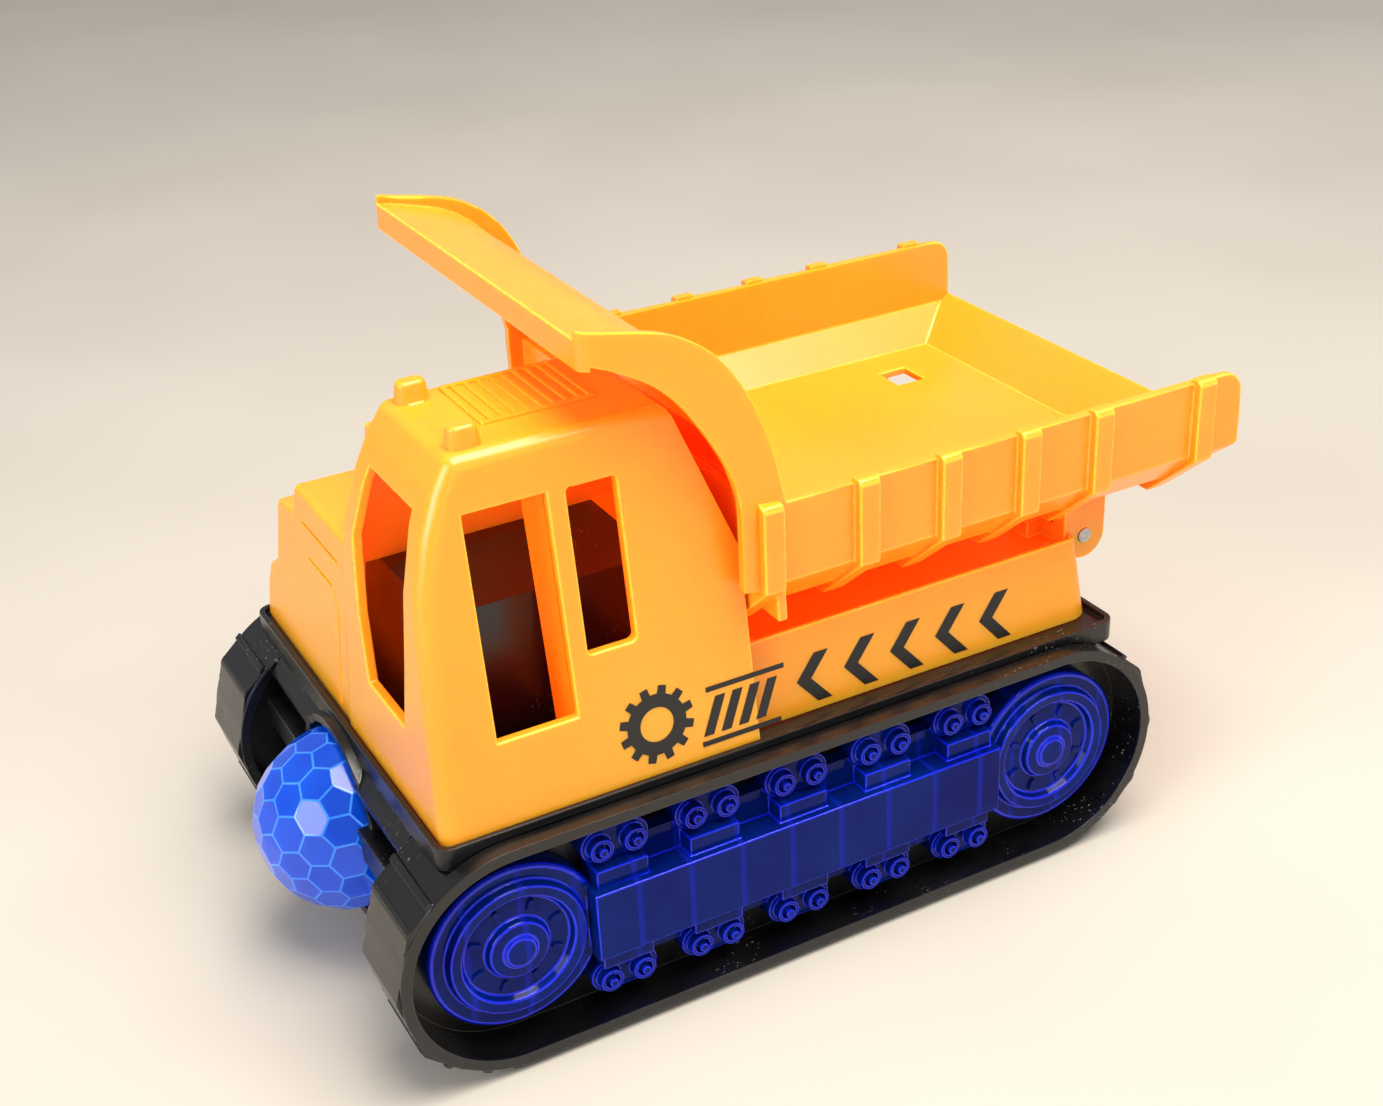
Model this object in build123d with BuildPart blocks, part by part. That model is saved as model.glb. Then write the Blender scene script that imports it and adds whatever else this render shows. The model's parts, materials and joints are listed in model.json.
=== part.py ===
from build123d import *
import os
from math import atan, cos, degrees, pi, radians, sin, sqrt, tan

os.makedirs("parts", exist_ok=True)

# A battery-driven toy dump truck on dummy tracks. It rolls on a small drive unit that swivels
# under the front and on a pair of free wheels under the rear, and its bed tips by hand.
# Millimetres. +X is forward, +Y is the truck's left, +Z is up. The origin is on the ground,
# under the middle of the whole truck.

# ---------------------------------------------------------------- overall sizes
wheelbase = 120.0          # between the centres of a track's two end wheels
overall_width = 112.0      # over the outer faces of the tracks
mid_x = 6.8                # the tracks' middle lies this far forward of the truck's middle
axle_height = 25.5         # centre height of the tracks' end wheels
rim_radius = 24.0          # side flange of a track round an end wheel
track_width = 18.4         # one track, across
body_width = 101.2         # over the bottom edge of the cab and the hood
bed_width = 102.0          # over the plain side walls of the bed

# ---------------------------------------------------------------- walls and clearances
wall = 2.0                 # moulded walls of the black and yellow shells
bed_wall = 1.8             # walls and floor of the bed
gap = 0.3                  # between pieces that lie beside each other
running = 0.05             # radial clearance of a turning shaft in its hole
swing = 0.5                # beside anything that swings or turns

# ---------------------------------------------------------------- places that follow from them
front_wheel_x = mid_x + wheelbase / 2
rear_wheel_x = mid_x - wheelbase / 2
track_outer = overall_width / 2
track_inner = track_outer - track_width

# The deck is the flat top of the black chassis, which the yellow body stands on.
deck_thickness = 3.3
deck_top = axle_height + rim_radius + 0.3
deck_under = deck_top - deck_thickness
deck_front = front_wheel_x + 12.6
deck_rear = rear_wheel_x - 16.8
deck_half = track_outer - 4.0
lip_width = 1.2
lip_height = 1.3

# The tub is the hollow of the chassis between the tracks, closed below by the base cover.
tub_half = track_inner - gap
tub_front = front_wheel_x + 12.0
tub_rear = rear_wheel_x - 12.0
base_bottom = 4.2
base_thickness = 2.0
base_top = base_bottom + base_thickness

# The yellow body: a cab on the left, a hood beside it and a low rear body behind them.
body_bottom = deck_top + 0.2
cab_front = front_wheel_x + 10.9
cab_length = 64.0
cab_rear = cab_front - cab_length
cab_top = 118.5
cab_inner_y = 0.3          # the cab's right wall, at its foot
cab_outer_y = body_width / 2
cab_draft = 9.0            # each side wall leans in this far at the roof
web_depth = 13.0           # stiffening web inside the door's pillar
hood_top = 88.0
rear_body_rear = rear_wheel_x - 15.0
rear_body_half = 46.6
rear_body_top = 67.5
rear_plate = 64.0          # top face of the plate inside the rear body's rim

# The bed and its hinge.
floor_top = 76.5
floor_under = floor_top - bed_wall
bed_top = 98.6
bed_half = bed_width / 2
bed_front = cab_rear - 0.7
bed_wall_front = cab_rear + 2.6
bed_rear = rear_wheel_x - 46.4
hinge_x = rear_body_rear - 1.0
hinge_z = 66.0
pin_radius = 1.5
ear_radius = 5.2
ear_outer = 41.5
ear_thickness = 4.0

# The light lens in the nose.
lens_margin = 2.45         # between the lens and the deck's top, and the base cover
lens_rise = 0.4            # the lens sits this much above the middle of that height
lens_x = front_wheel_x + 13.4
lens_z = (deck_top + base_top) / 2 + lens_rise
lens_radius = (deck_top - base_top) / 2 - lens_margin
lens_wall = 1.5

# The running gear.
drive_x = mid_x + 34.5     # the drive unit's swivel axis
drive_wheel_radius = 13.0
rear_roller_radius = 10.5
rear_roller_x = tub_rear + wall + gap + rear_roller_radius
axle_radius = 1.5
turntable_radius = 25.0
battery_x = mid_x - 22.6   # middle of the battery compartment
battery_pitch = 14.6
battery_radius = 7.1
battery_length = 50.0
battery_z = base_top + 0.6 + battery_radius


def save(piece, name):
    """Label a finished piece and write it to its own file."""
    piece.part.label = name
    export_step(piece.part, f"parts/{name}.step")


def side_plane(y):
    """The plane at one distance to the left, seen from the right side, with +X across and +Z up."""
    return Plane.XZ.offset(-y)


# ================================================================ black chassis and tracks
# The chassis is one black moulding: a flat deck with a lip round the yellow body, and a tub
# below it that hangs between the tracks. A sloping apron runs across the nose under the lip, and
# a tall housing fills the lower part of the cab and the hood.
apron_reach = 2.8
socket_radius = lens_radius + gap
collar_wall = 1.8
brace_rise = 5.5
brace_height = 6.5
brace_reach = 4.8
screw_post_radius = 3.0
screw_hole_radius = 1.0
screw_head_radius = 2.4
screw_head_height = 1.4
post_inset = 6.0
post_places = [(x, y)
               for x in (tub_rear + post_inset, mid_x + 7.0, tub_front - post_inset)
               for y in (-(tub_half - post_inset), tub_half - post_inset)]
body_screw_inset = 6.0     # behind the housing, just ahead of the cab's rear wall
body_screw_places = [(x, y) for x in (cab_rear + body_screw_inset, rear_body_rear + 40.0)
                     for y in (-30.0, 30.0)]
housing_front = cab_front - 9.7
housing_rear = cab_rear + 10.3
housing_left = cab_outer_y - web_depth - 5.1
housing_right = -24.0
housing_top = hood_top - wall - 1.0
housing_middle = ((housing_front + housing_rear) / 2, (housing_left + housing_right) / 2)
housing_size = (housing_front - housing_rear, housing_left - housing_right)
speaker_x = mid_x - 8.0
side_light_x = mid_x

with BuildPart() as chassis:
    with BuildSketch(Plane.XY.offset(deck_under)):
        with Locations(((deck_front + deck_rear) / 2, 0)):
            RectangleRounded(deck_front - deck_rear, 2 * deck_half, 3.0)
    extrude(amount=deck_thickness)
    with BuildSketch(Plane.XY.offset(deck_top)):
        with Locations(((deck_front + deck_rear) / 2, 0)):
            RectangleRounded(deck_front - deck_rear, 2 * deck_half, 3.0)
            RectangleRounded(deck_front - deck_rear - 2 * lip_width, 2 * (deck_half - lip_width),
                             2.0, mode=Mode.SUBTRACT)
    extrude(amount=lip_height)
    with BuildSketch(Plane.XY.offset(base_top)):
        with Locations(((tub_front + tub_rear) / 2, 0)):
            Rectangle(tub_front - tub_rear, 2 * tub_half)
            Rectangle(tub_front - tub_rear - 2 * wall, 2 * (tub_half - wall), mode=Mode.SUBTRACT)
    extrude(amount=deck_under - base_top)
    with BuildSketch(side_plane(tub_half)):
        with BuildLine():
            Polyline((tub_front - wall, deck_under), (tub_front, deck_under),
                     (tub_front + apron_reach, deck_under - 3.2),
                     (tub_front + apron_reach, deck_under - 4.4),
                     (tub_front, deck_under - 5.6), (tub_front - wall, deck_under - 5.6), close=True)
        make_face()
    extrude(amount=2 * tub_half)
    with BuildSketch(Plane.YZ.offset(tub_front)):
        with Locations((0, lens_z)):
            Circle(socket_radius + collar_wall)
    extrude(amount=apron_reach - 0.3)
    # A short brace on each side of the lens ties the collar to the tub's corner.
    with BuildSketch(Plane.YZ.offset(tub_front)):
        with Locations((0, lens_z + brace_rise)):
            Rectangle(2 * tub_half, brace_height)
    extrude(amount=brace_reach)
    with BuildSketch(Plane.YZ.offset(tub_front - wall - 4.0)):
        with Locations((0, lens_z)):
            Circle(socket_radius)
    extrude(amount=wall + brace_reach + 10.0, mode=Mode.SUBTRACT)
    # Screw posts hang from the deck and meet the base cover.
    with BuildSketch(Plane.XY.offset(base_top)):
        with Locations(*post_places):
            Circle(screw_post_radius)
            Circle(screw_hole_radius, mode=Mode.SUBTRACT)
    extrude(amount=deck_under - base_top)
    # Holes for the body's screws, for the speaker's sound and for the lamps behind the inserts.
    with BuildSketch(Plane.XY.offset(deck_under)):
        with Locations(*body_screw_places):
            Circle(1.6)
        with Locations((speaker_x, 0)):
            with GridLocations(5.0, 5.0, 3, 3):
                Circle(1.0)
    extrude(amount=deck_thickness, mode=Mode.SUBTRACT)
    with BuildSketch(side_plane(tub_half + 1)):
        with Locations((side_light_x, axle_height + 1)):
            Circle(2.5 + gap)
    extrude(amount=2 * tub_half + 2, mode=Mode.SUBTRACT)
    # A housing stands on the deck inside the cab and the hood, over the drive unit. It is hollow,
    # and open below through the deck.
    with BuildSketch(Plane.XY.offset(deck_top)):
        with Locations(housing_middle):
            Rectangle(*housing_size)
    extrude(amount=housing_top - deck_top)
    with BuildSketch(Plane.XY.offset(deck_under)):
        with Locations(housing_middle):
            Rectangle(housing_size[0] - 2 * wall, housing_size[1] - 2 * wall)
    extrude(amount=housing_top - wall - deck_under, mode=Mode.SUBTRACT)
save(chassis, "chassis")

# Each dummy track is one black moulding: a rim round two end wheels and both runs, a web set
# back from the outer face, tread pads with raised bars round the ends and along the bottom.
rim_wall = 2.3
web_back = 9.0             # the web's outer face lies this far behind the rim's outer face
web_wall = 2.0
tread_inset = 0.6
bar_height = 1.2
bar_width = 1.6
pad_angles = (40.3, -39.6, -74.5)
pad_half_angle = 7.2
pad_pitch = (wheelbase - 42.4) / 4
pad_half_run = 3.3
tread_radius = rim_radius + 0.2


def end_points(radius_angles):
    """Points round the front end wheel, then their mirror images round the rear one."""
    ahead = [(front_wheel_x + r * cos(radians(a)), axle_height + r * sin(radians(a)))
             for r, a in radius_angles]
    behind = [(2 * mid_x - x, z) for x, z in reversed(ahead)]
    return ahead + behind


with BuildPart() as track_left:
    with BuildSketch(side_plane(track_outer)):
        with Locations((mid_x, axle_height)):
            SlotCenterToCenter(wheelbase, 2 * rim_radius)
            SlotCenterToCenter(wheelbase, 2 * (rim_radius - rim_wall), mode=Mode.SUBTRACT)
    extrude(amount=track_width)
    with BuildSketch(side_plane(track_outer - web_back)):
        with Locations((mid_x, axle_height)):
            SlotCenterToCenter(wheelbase, 2 * (rim_radius - rim_wall / 2))
            Rectangle(wheelbase - 40.0, 9.0, mode=Mode.SUBTRACT)
    extrude(amount=web_wall)
    # The tread's outline is flat between its corners, which stand just proud of the rim.
    with BuildSketch(side_plane(track_outer - tread_inset)):
        with BuildLine():
            Polyline(*end_points([(rim_radius - 0.3, 90), (rim_radius + 0.2, 47), (rim_radius + 1.1, 33),
                                  (rim_radius + 0.8, 0), (rim_radius + 1.1, -33),
                                  (rim_radius + 0.4, -54), (rim_radius + 0.2, -75),
                                  (rim_radius - 0.1, -90)]), close=True)
        make_face()
        with Locations((mid_x, axle_height)):
            SlotCenterToCenter(wheelbase, 2 * (rim_radius - rim_wall), mode=Mode.SUBTRACT)
    extrude(amount=track_width - 2 * tread_inset)
    # Raised bars, in pairs, one pair to a pad.
    for end_x, turn in ((front_wheel_x, 1), (rear_wheel_x, -1)):
        for pad in pad_angles:
            for edge in (-pad_half_angle, pad_half_angle):
                angle = pad + edge if turn > 0 else 180 - pad - edge
                with BuildSketch(side_plane(track_outer - tread_inset)):
                    with Locations((end_x + (rim_radius - 0.2) * cos(radians(angle)),
                                    axle_height + (rim_radius - 0.2) * sin(radians(angle)))):
                        Rectangle(2 * bar_height, bar_width, rotation=angle)
                extrude(amount=track_width - 2 * tread_inset)
    with BuildSketch(side_plane(track_outer - tread_inset)):
        with Locations((mid_x, axle_height - tread_radius)):
            with GridLocations(pad_pitch, 1, 5, 1):
                with GridLocations(2 * pad_half_run, 1, 2, 1):
                    Rectangle(bar_width, bar_height)
    extrude(amount=track_width - 2 * tread_inset)
    # The deck lies in a step along the top.
    with BuildSketch(Plane.XY.offset(deck_under - gap)):
        with Locations(((deck_front + deck_rear) / 2, 0)):
            Rectangle(deck_front - deck_rear + 2 * gap, 2 * (deck_half + gap))
    extrude(amount=10.0, mode=Mode.SUBTRACT)
save(track_left, "track_left")

with BuildPart() as track_right:
    mirror(track_left.part, about=Plane.XZ)
save(track_right, "track_right")

# ================================================================ blue light inserts
# One clear blue moulding in each track: two dished end discs, a hollow beam between them and
# rows of double bosses above and below the beam. It glows from lamps inside the chassis.
disc_radius = rim_radius - rim_wall - 4.5
beam_half_length = wheelbase / 2 - disc_radius + 2.6
beam_half_height = 7.4
insert_back = track_outer - web_back + gap / 2
beam_face = track_outer - 0.2
boss_offset = rim_radius - 9.0     # from the beam's middle to a row of bosses
boss_pitch = 6.9
# Each step of a disc: its share of the radius, and how far it stands below the rim's outer face.
disc_profile = [(1.0, 4.5), (0.965, 4.1), (0.82, 4.4), (0.785, 2.6), (0.655, 2.9),
                (0.615, 4.3), (0.375, 4.2), (0.34, 2.7), (0.2, 2.5), (0.17, 1.9)]
disc_steps = [(share * disc_radius, depth) for share, depth in disc_profile]
spoke_radius = disc_radius / 2

with BuildPart() as light_insert_left:
    for end_x in (front_wheel_x, rear_wheel_x):
        axis_line = Axis((end_x, 0, axle_height), (0, 1, 0))
        with BuildSketch(Plane.XY.offset(axle_height)):
            with BuildLine():
                Polyline(*([(end_x, insert_back), (end_x + disc_radius, insert_back)]
                           + [(end_x + r, track_outer - d) for r, d in disc_steps]
                           + [(end_x, track_outer - disc_steps[-1][1])]), close=True)
            make_face()
        revolve(axis=axis_line)
        # Short spokes stand in the dish, round the hub.
        for spoke in range(8):
            turned = radians(45 * spoke + 22.5)
            with BuildSketch(side_plane(track_outer - 3.7)):
                with Locations((end_x + spoke_radius * cos(turned),
                                axle_height + spoke_radius * sin(turned))):
                    SlotOverall(2.6, 1.2, rotation=degrees(turned))
            extrude(amount=1.6)
    with BuildSketch(side_plane(beam_face)):
        with Locations((mid_x, axle_height)):
            Rectangle(2 * beam_half_length, 2 * beam_half_height)
    extrude(amount=beam_face - insert_back)
    for upward in (-1, 1):
        with BuildSketch(side_plane(track_outer - 4.6)):
            with Locations((mid_x, axle_height + upward * boss_offset)):
                with GridLocations(pad_pitch, 1, 5, 1):
                    SlotCenterToCenter(boss_pitch, 7.0)
        extrude(amount=track_outer - 4.6 - insert_back)
        with BuildSketch(side_plane(track_outer - 2.6)):
            with Locations((mid_x, axle_height + upward * boss_offset)):
                with GridLocations(pad_pitch, 1, 5, 1):
                    with GridLocations(boss_pitch, 1, 2, 1):
                        Circle(2.4)
                        Circle(1.5, mode=Mode.SUBTRACT)
        extrude(amount=2.2)
        with BuildSketch(side_plane(track_outer - 1.9)):
            with Locations((mid_x, axle_height + upward * boss_offset)):
                with GridLocations(pad_pitch, 1, 5, 1):
                    with GridLocations(boss_pitch, 1, 2, 1):
                        Circle(0.9)
        extrude(amount=2.8)
        # A block joins each pad to the beam.
        with BuildSketch(side_plane(track_outer - 2.0)):
            with Locations((mid_x, axle_height + upward * (beam_half_height + 1.8))):
                with GridLocations(pad_pitch, 1, 5, 1):
                    Rectangle(10.6, 4.0)
        extrude(amount=track_outer - 2.0 - insert_back)
        # Between the pads a thin shelf ties the blocks together.
        with BuildSketch(side_plane(track_outer - 6.0)):
            with Locations((mid_x, axle_height + upward * (beam_half_height + 3.0))):
                Rectangle(4 * pad_pitch, 6.5)
        extrude(amount=track_outer - 6.0 - insert_back)
    # The beam and discs are hollow behind, so that light reaches all of the face.
    with BuildSketch(side_plane(insert_back + 6.6)):
        with Locations((mid_x, axle_height)):
            Rectangle(2 * (beam_half_length - 1.6), 2 * (beam_half_height - 1.6))
    extrude(amount=7.0, mode=Mode.SUBTRACT)
save(light_insert_left, "light_insert_left")

with BuildPart() as light_insert_right:
    mirror(light_insert_left.part, about=Plane.XZ)
save(light_insert_right, "light_insert_right")

# ================================================================ nose lens
# A clear blue dome, pushed through the tub's front wall from inside and held by its flange
# and a black ring behind it.
flange_reach = 1.9
flange_front = tub_front - wall - 0.1
flange_wall = 1.2
with BuildPart() as dome_lens:
    with BuildSketch(Plane.XZ):
        with BuildLine():
            Line((lens_x, lens_z + lens_radius), (flange_front, lens_z + lens_radius))
            Line((flange_front, lens_z + lens_radius), (flange_front, lens_z + lens_radius + flange_reach))
            Line((flange_front, lens_z + lens_radius + flange_reach),
                 (flange_front - flange_wall, lens_z + lens_radius + flange_reach))
            Line((flange_front - flange_wall, lens_z + lens_radius + flange_reach),
                 (flange_front - flange_wall, lens_z + lens_radius - lens_wall))
            Line((flange_front - flange_wall, lens_z + lens_radius - lens_wall),
                 (lens_x, lens_z + lens_radius - lens_wall))
            RadiusArc((lens_x, lens_z + lens_radius - lens_wall),
                      (lens_x + lens_radius - lens_wall, lens_z), lens_radius - lens_wall)
            Line((lens_x + lens_radius - lens_wall, lens_z), (lens_x + lens_radius, lens_z))
            RadiusArc((lens_x + lens_radius, lens_z), (lens_x, lens_z + lens_radius), -lens_radius)
        make_face()
    revolve(axis=Axis((0, 0, lens_z), (1, 0, 0)))
    # The flange is cut flat under the deck.
    with BuildSketch(Plane.XY.offset(deck_under - gap)):
        with Locations((flange_front - 2.4, 0)):
            Rectangle(5.0, 60.0)
    extrude(amount=10.0, mode=Mode.SUBTRACT)
save(dome_lens, "dome_lens")

ring_front = flange_front - flange_wall - 0.1
with BuildPart() as lens_ring:
    with BuildSketch(Plane.YZ.offset(ring_front - 1.6)):
        with Locations((0, lens_z)):
            Circle(lens_radius + flange_reach)
            Circle(lens_radius - lens_wall - 2.0, mode=Mode.SUBTRACT)
        with Locations((0, deck_under + 10.0 - gap)):
            Rectangle(60.0, 20.0, mode=Mode.SUBTRACT)
    extrude(amount=1.6)
    for side in (-1, 1):
        with BuildSketch(Plane.YZ.offset(ring_front - 1.6)):
            with Locations((side * (lens_radius + flange_reach + 1.6), lens_z)):
                Rectangle(6.0, 6.0)
        extrude(amount=1.6)
save(lens_ring, "lens_ring")

# ================================================================ yellow body
# The cab and the hood are one yellow shell, open below, on the deck. The cab stands on the left
# with open windows; the hood beside it steps down towards the right.
window_foot = 66.7
window_head = 108.6
front_window = (cab_front - 28.3, cab_front - 12.8)      # rear and front edge of the long door window
rear_window = (cab_front - 41.4, cab_front - 31.9)
rear_window_foot = 77.6
windscreen_edges = [(8.9, window_foot), (11.4, 80.0), (12.5, 95.0), (11.2, 103.5), (10.2, window_head)]
cab_middle_y = (cab_inner_y + cab_outer_y) / 2
hood_slope = 3.9           # the hood's front leans back this far at its top
hood_lean = atan(hood_slope / (hood_top - body_bottom))
groove_width = 0.8
groove_depth = 0.4
lamp_places = [(cab_front - 16.5, cab_middle_y - 11.5), (cab_front - 16.5, cab_middle_y + 11.5)]
grille_middle = (cab_front - 33.0, cab_middle_y - 3.5)
grille_size = (21.5, 19.5)
slat_pitch = 2.4


def cab_block(inset):
    """The cab's outer shape, or its hollow when inset by the wall."""
    lean = atan(cab_draft / (cab_top - body_bottom))
    with BuildPart() as block:
        with BuildSketch(side_plane(cab_outer_y + 1)):
            with BuildLine():
                Polyline((cab_rear, body_bottom), (cab_front, body_bottom), (cab_front - 1.4, 80.0),
                         (cab_front - 2.6, 95.0), (cab_front - 5.6, 106.0), (cab_front - 8.6, 113.0),
                         (cab_front - 12.0, cab_top), (cab_rear + 11.6, cab_top),
                         (cab_rear, hood_top + 0.4), close=True)
            make_face()
            if inset:
                offset(amount=-inset, kind=Kind.INTERSECTION)
                with Locations(((cab_rear + cab_front) / 2, body_bottom + inset)):
                    Rectangle(cab_length - 2 * inset, 2 * (inset + 1.0))
        extrude(amount=body_width)
        for y, side in ((cab_outer_y - inset, 1), (cab_inner_y + inset, -1)):
            split(bisect_by=Plane(origin=(0, y, body_bottom), x_dir=(1, 0, 0),
                                  z_dir=(0, side * cos(lean), sin(lean))), keep=Keep.BOTTOM)
        if not inset:
            ahead = [e for e in block.edges() if e.center().X > cab_front - 14.0
                     and e.center().Z > body_bottom + 0.1 and abs(e.tangent_at(0.5).Y) < 0.7]
            above = [e for e in block.edges() if e.center().Z > cab_top - 0.1 and e not in ahead]
            fillet(ahead + above, radius=3.0)
    return block.part


def hood_block(inset):
    """The hood's stepped outer shape, or its hollow when inset by the wall."""
    left = cab_inner_y + (2 * inset + 5.0 if inset else 6.0)
    with BuildPart() as block:
        with BuildSketch(Plane.YZ.offset(cab_rear + inset)) as section:
            with BuildLine():
                Polyline((left, body_bottom), (left, hood_top), (-29.0, hood_top),
                         (-30.2, 81.6), (-40.6, 80.2), (-42.6, 66.2), (-47.6, 63.2), (-49.8, 58.0),
                         (-body_width / 2, body_bottom), close=True)
            make_face()
            if inset:
                offset(amount=-inset, kind=Kind.INTERSECTION)
                with Locations(((left - body_width / 2) / 2, body_bottom + inset)):
                    Rectangle(left + body_width / 2 - 2 * inset, 2 * (inset + 1.0))
            else:
                steps = [v for v in section.vertices() if v.Z > body_bottom + 1 and v.Y < 0]
                fillet([v for v in steps if v.Z > hood_top - 1], radius=3.0)
                fillet([v for v in steps if v.Z < hood_top - 1], radius=1.5)
        extrude(amount=cab_length - 0.6)
        split(bisect_by=Plane(origin=(cab_front - 0.6 - inset, 0, body_bottom), x_dir=(0, 1, 0),
                              z_dir=(cos(hood_lean), 0, sin(hood_lean))), keep=Keep.BOTTOM)
        if not inset:
            nose = [e for e in block.edges() if e.center().X > cab_front - 6.0
                    and e.center().Z > body_bottom + 0.1 and e.center().Y < cab_inner_y]
            fillet(nose, radius=1.2)
    return block.part


cab_outside, cab_hollow = cab_block(0), cab_block(wall)
hood_outside, hood_hollow = hood_block(0), hood_block(wall)

with BuildPart() as cab_shell:
    add(cab_outside)
    add(hood_outside)
    add(cab_hollow, mode=Mode.SUBTRACT)
    add(hood_hollow, mode=Mode.SUBTRACT)
    # Windscreen and the two windows of the left door.
    with BuildSketch(Plane.YZ.offset(cab_front - 20.0)):
        with BuildLine():
            Polyline(*([(cab_middle_y - half, z) for half, z in windscreen_edges]
                       + [(cab_middle_y + half, z) for half, z in reversed(windscreen_edges)]), close=True)
        make_face()
    extrude(amount=30.0, mode=Mode.SUBTRACT)
    with BuildSketch(side_plane(cab_outer_y + 1)):
        with Locations(((front_window[0] + front_window[1]) / 2, (window_foot + window_head) / 2)):
            Rectangle(front_window[1] - front_window[0], window_head - window_foot)
        with Locations(((rear_window[0] + rear_window[1]) / 2, (rear_window_foot + window_head) / 2)):
            RectangleRounded(rear_window[1] - rear_window[0], window_head - rear_window_foot, 1.0)
    extrude(amount=14.0, mode=Mode.SUBTRACT)
    # A web stiffens the door pillar from inside.
    with BuildSketch(Plane.YZ.offset(front_window[0] - 1.8)):
        with BuildLine():
            lean_per_mm = cab_draft / (cab_top - body_bottom)
            top_y = cab_outer_y - 1.0 - lean_per_mm * (cab_top - 1.0 - body_bottom)
            foot_y = cab_outer_y - 1.0 - lean_per_mm * (60.0 - body_bottom)
            Polyline((top_y, cab_top - 1.0), (foot_y, 60.0), (foot_y - web_depth + 2.0, 60.0),
                     (top_y - web_depth, cab_top - 1.0), close=True)
        make_face()
    extrude(amount=1.6)
    # Roof: two lamp blocks at the front, a framed grille behind them and a side lamp.
    for x, y in lamp_places:
        with BuildSketch(Plane.XY.offset(cab_top - 0.5)):
            with Locations((x, y)):
                RectangleRounded(6.4, 4.6, 2.0)
        extrude(amount=4.4, taper=8)
    lamp_tops = [e for e in cab_shell.edges() if e.center().Z > cab_top + 3.8]
    fillet(lamp_tops, radius=0.9)
    with BuildSketch(Plane.XY.offset(cab_top - 0.6)):
        with Locations(grille_middle):
            Rectangle(*grille_size)
            Rectangle(grille_size[0] - 1.6, grille_size[1] - 1.6, mode=Mode.SUBTRACT)
            with GridLocations(slat_pitch, 1, 8, 1):
                Rectangle(0.8, grille_size[1])
    extrude(amount=1.1)
    with BuildSketch(Plane.XY.offset(108.0)):
        with Locations((cab_front - 12.0, cab_inner_y + cab_draft - 1.5)):
            RectangleRounded(6.0, 3.4, 1.2)
    extrude(amount=5.0, taper=6)
    # Screw bosses inside, over the deck's screw holes.
    with BuildSketch(Plane.XY.offset(body_bottom)):
        with Locations(*[place for place in body_screw_places if place[0] > cab_rear]):
            Circle(3.0)
            Circle(screw_hole_radius, mode=Mode.SUBTRACT)
    extrude(amount=9.0)
    tie_start = cab_rear + wall - 0.5
    tie_end = cab_rear + body_screw_inset - screw_hole_radius - 0.7
    with BuildSketch(Plane.XY.offset(body_bottom)):
        with Locations(*[((tie_start + tie_end) / 2, y) for x, y in body_screw_places[:2]]):
            Rectangle(tie_end - tie_start, 1.6)
    extrude(amount=8.0)
    # Shallow grooves mark a panel on the hood's front: one along its top, one round its corner.
    with BuildSketch(Plane(origin=(cab_front - 0.6, 0, body_bottom), x_dir=(0, 1, 0),
                           z_dir=(cos(hood_lean), 0, sin(hood_lean)))):
        with Locations((-14.0, 32.0)):
            Rectangle(21.0, groove_width)
        with BuildLine():
            Polyline((-21.0, 26.0), (-7.5, 26.0), (-3.5, 22.0), (-3.5, 1.5), (-3.5 - groove_width, 1.5),
                     (-3.5 - groove_width, 22.0 - groove_width / 2),
                     (-7.5 - groove_width / 2, 26.0 - groove_width), (-21.0, 26.0 - groove_width),
                     close=True)
        make_face()
    extrude(amount=-groove_depth, mode=Mode.SUBTRACT)
save(cab_shell, "cab_shell")

# The rear body is a low yellow box behind the cab, open below, with a plate sunk a little below
# its rim. Its tail carries the two lugs that hold the bed's hinge pin.
rear_body_front = cab_rear - 0.2
rear_lean = atan(2.6 / (rear_body_top - body_bottom))
lug_y = 31.0
lug_thickness = 4.0
lug_radius = 4.4
slot_inner = ear_outer - ear_thickness - swing
slot_outer = ear_outer + swing
rest_x = cab_rear - 14.0


def rear_block(inset, foot, top):
    """The rear body's outer shape, or a part of its hollow when inset by the wall."""
    length = rear_body_front - rear_body_rear + 20.0
    with BuildPart() as block:
        with BuildSketch(Plane.XY.offset(foot)):
            with Locations((rear_body_rear + length / 2 + inset / 2, 0)):
                RectangleRounded(length - inset, 2 * (rear_body_half - inset), 5.0 - inset)
        extrude(amount=top - foot, taper=degrees(rear_lean))
        split(bisect_by=Plane(origin=(rear_body_front - inset, 0, 0), x_dir=(0, 1, 0), z_dir=(1, 0, 0)),
              keep=Keep.BOTTOM)
    return block.part


rear_outside = rear_block(0, body_bottom, rear_body_top)
rear_hollow = rear_block(wall, body_bottom - 1.0, rear_plate - wall)
rear_well = rear_block(wall + 1.2, rear_plate, rear_body_top + 1.0)

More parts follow.
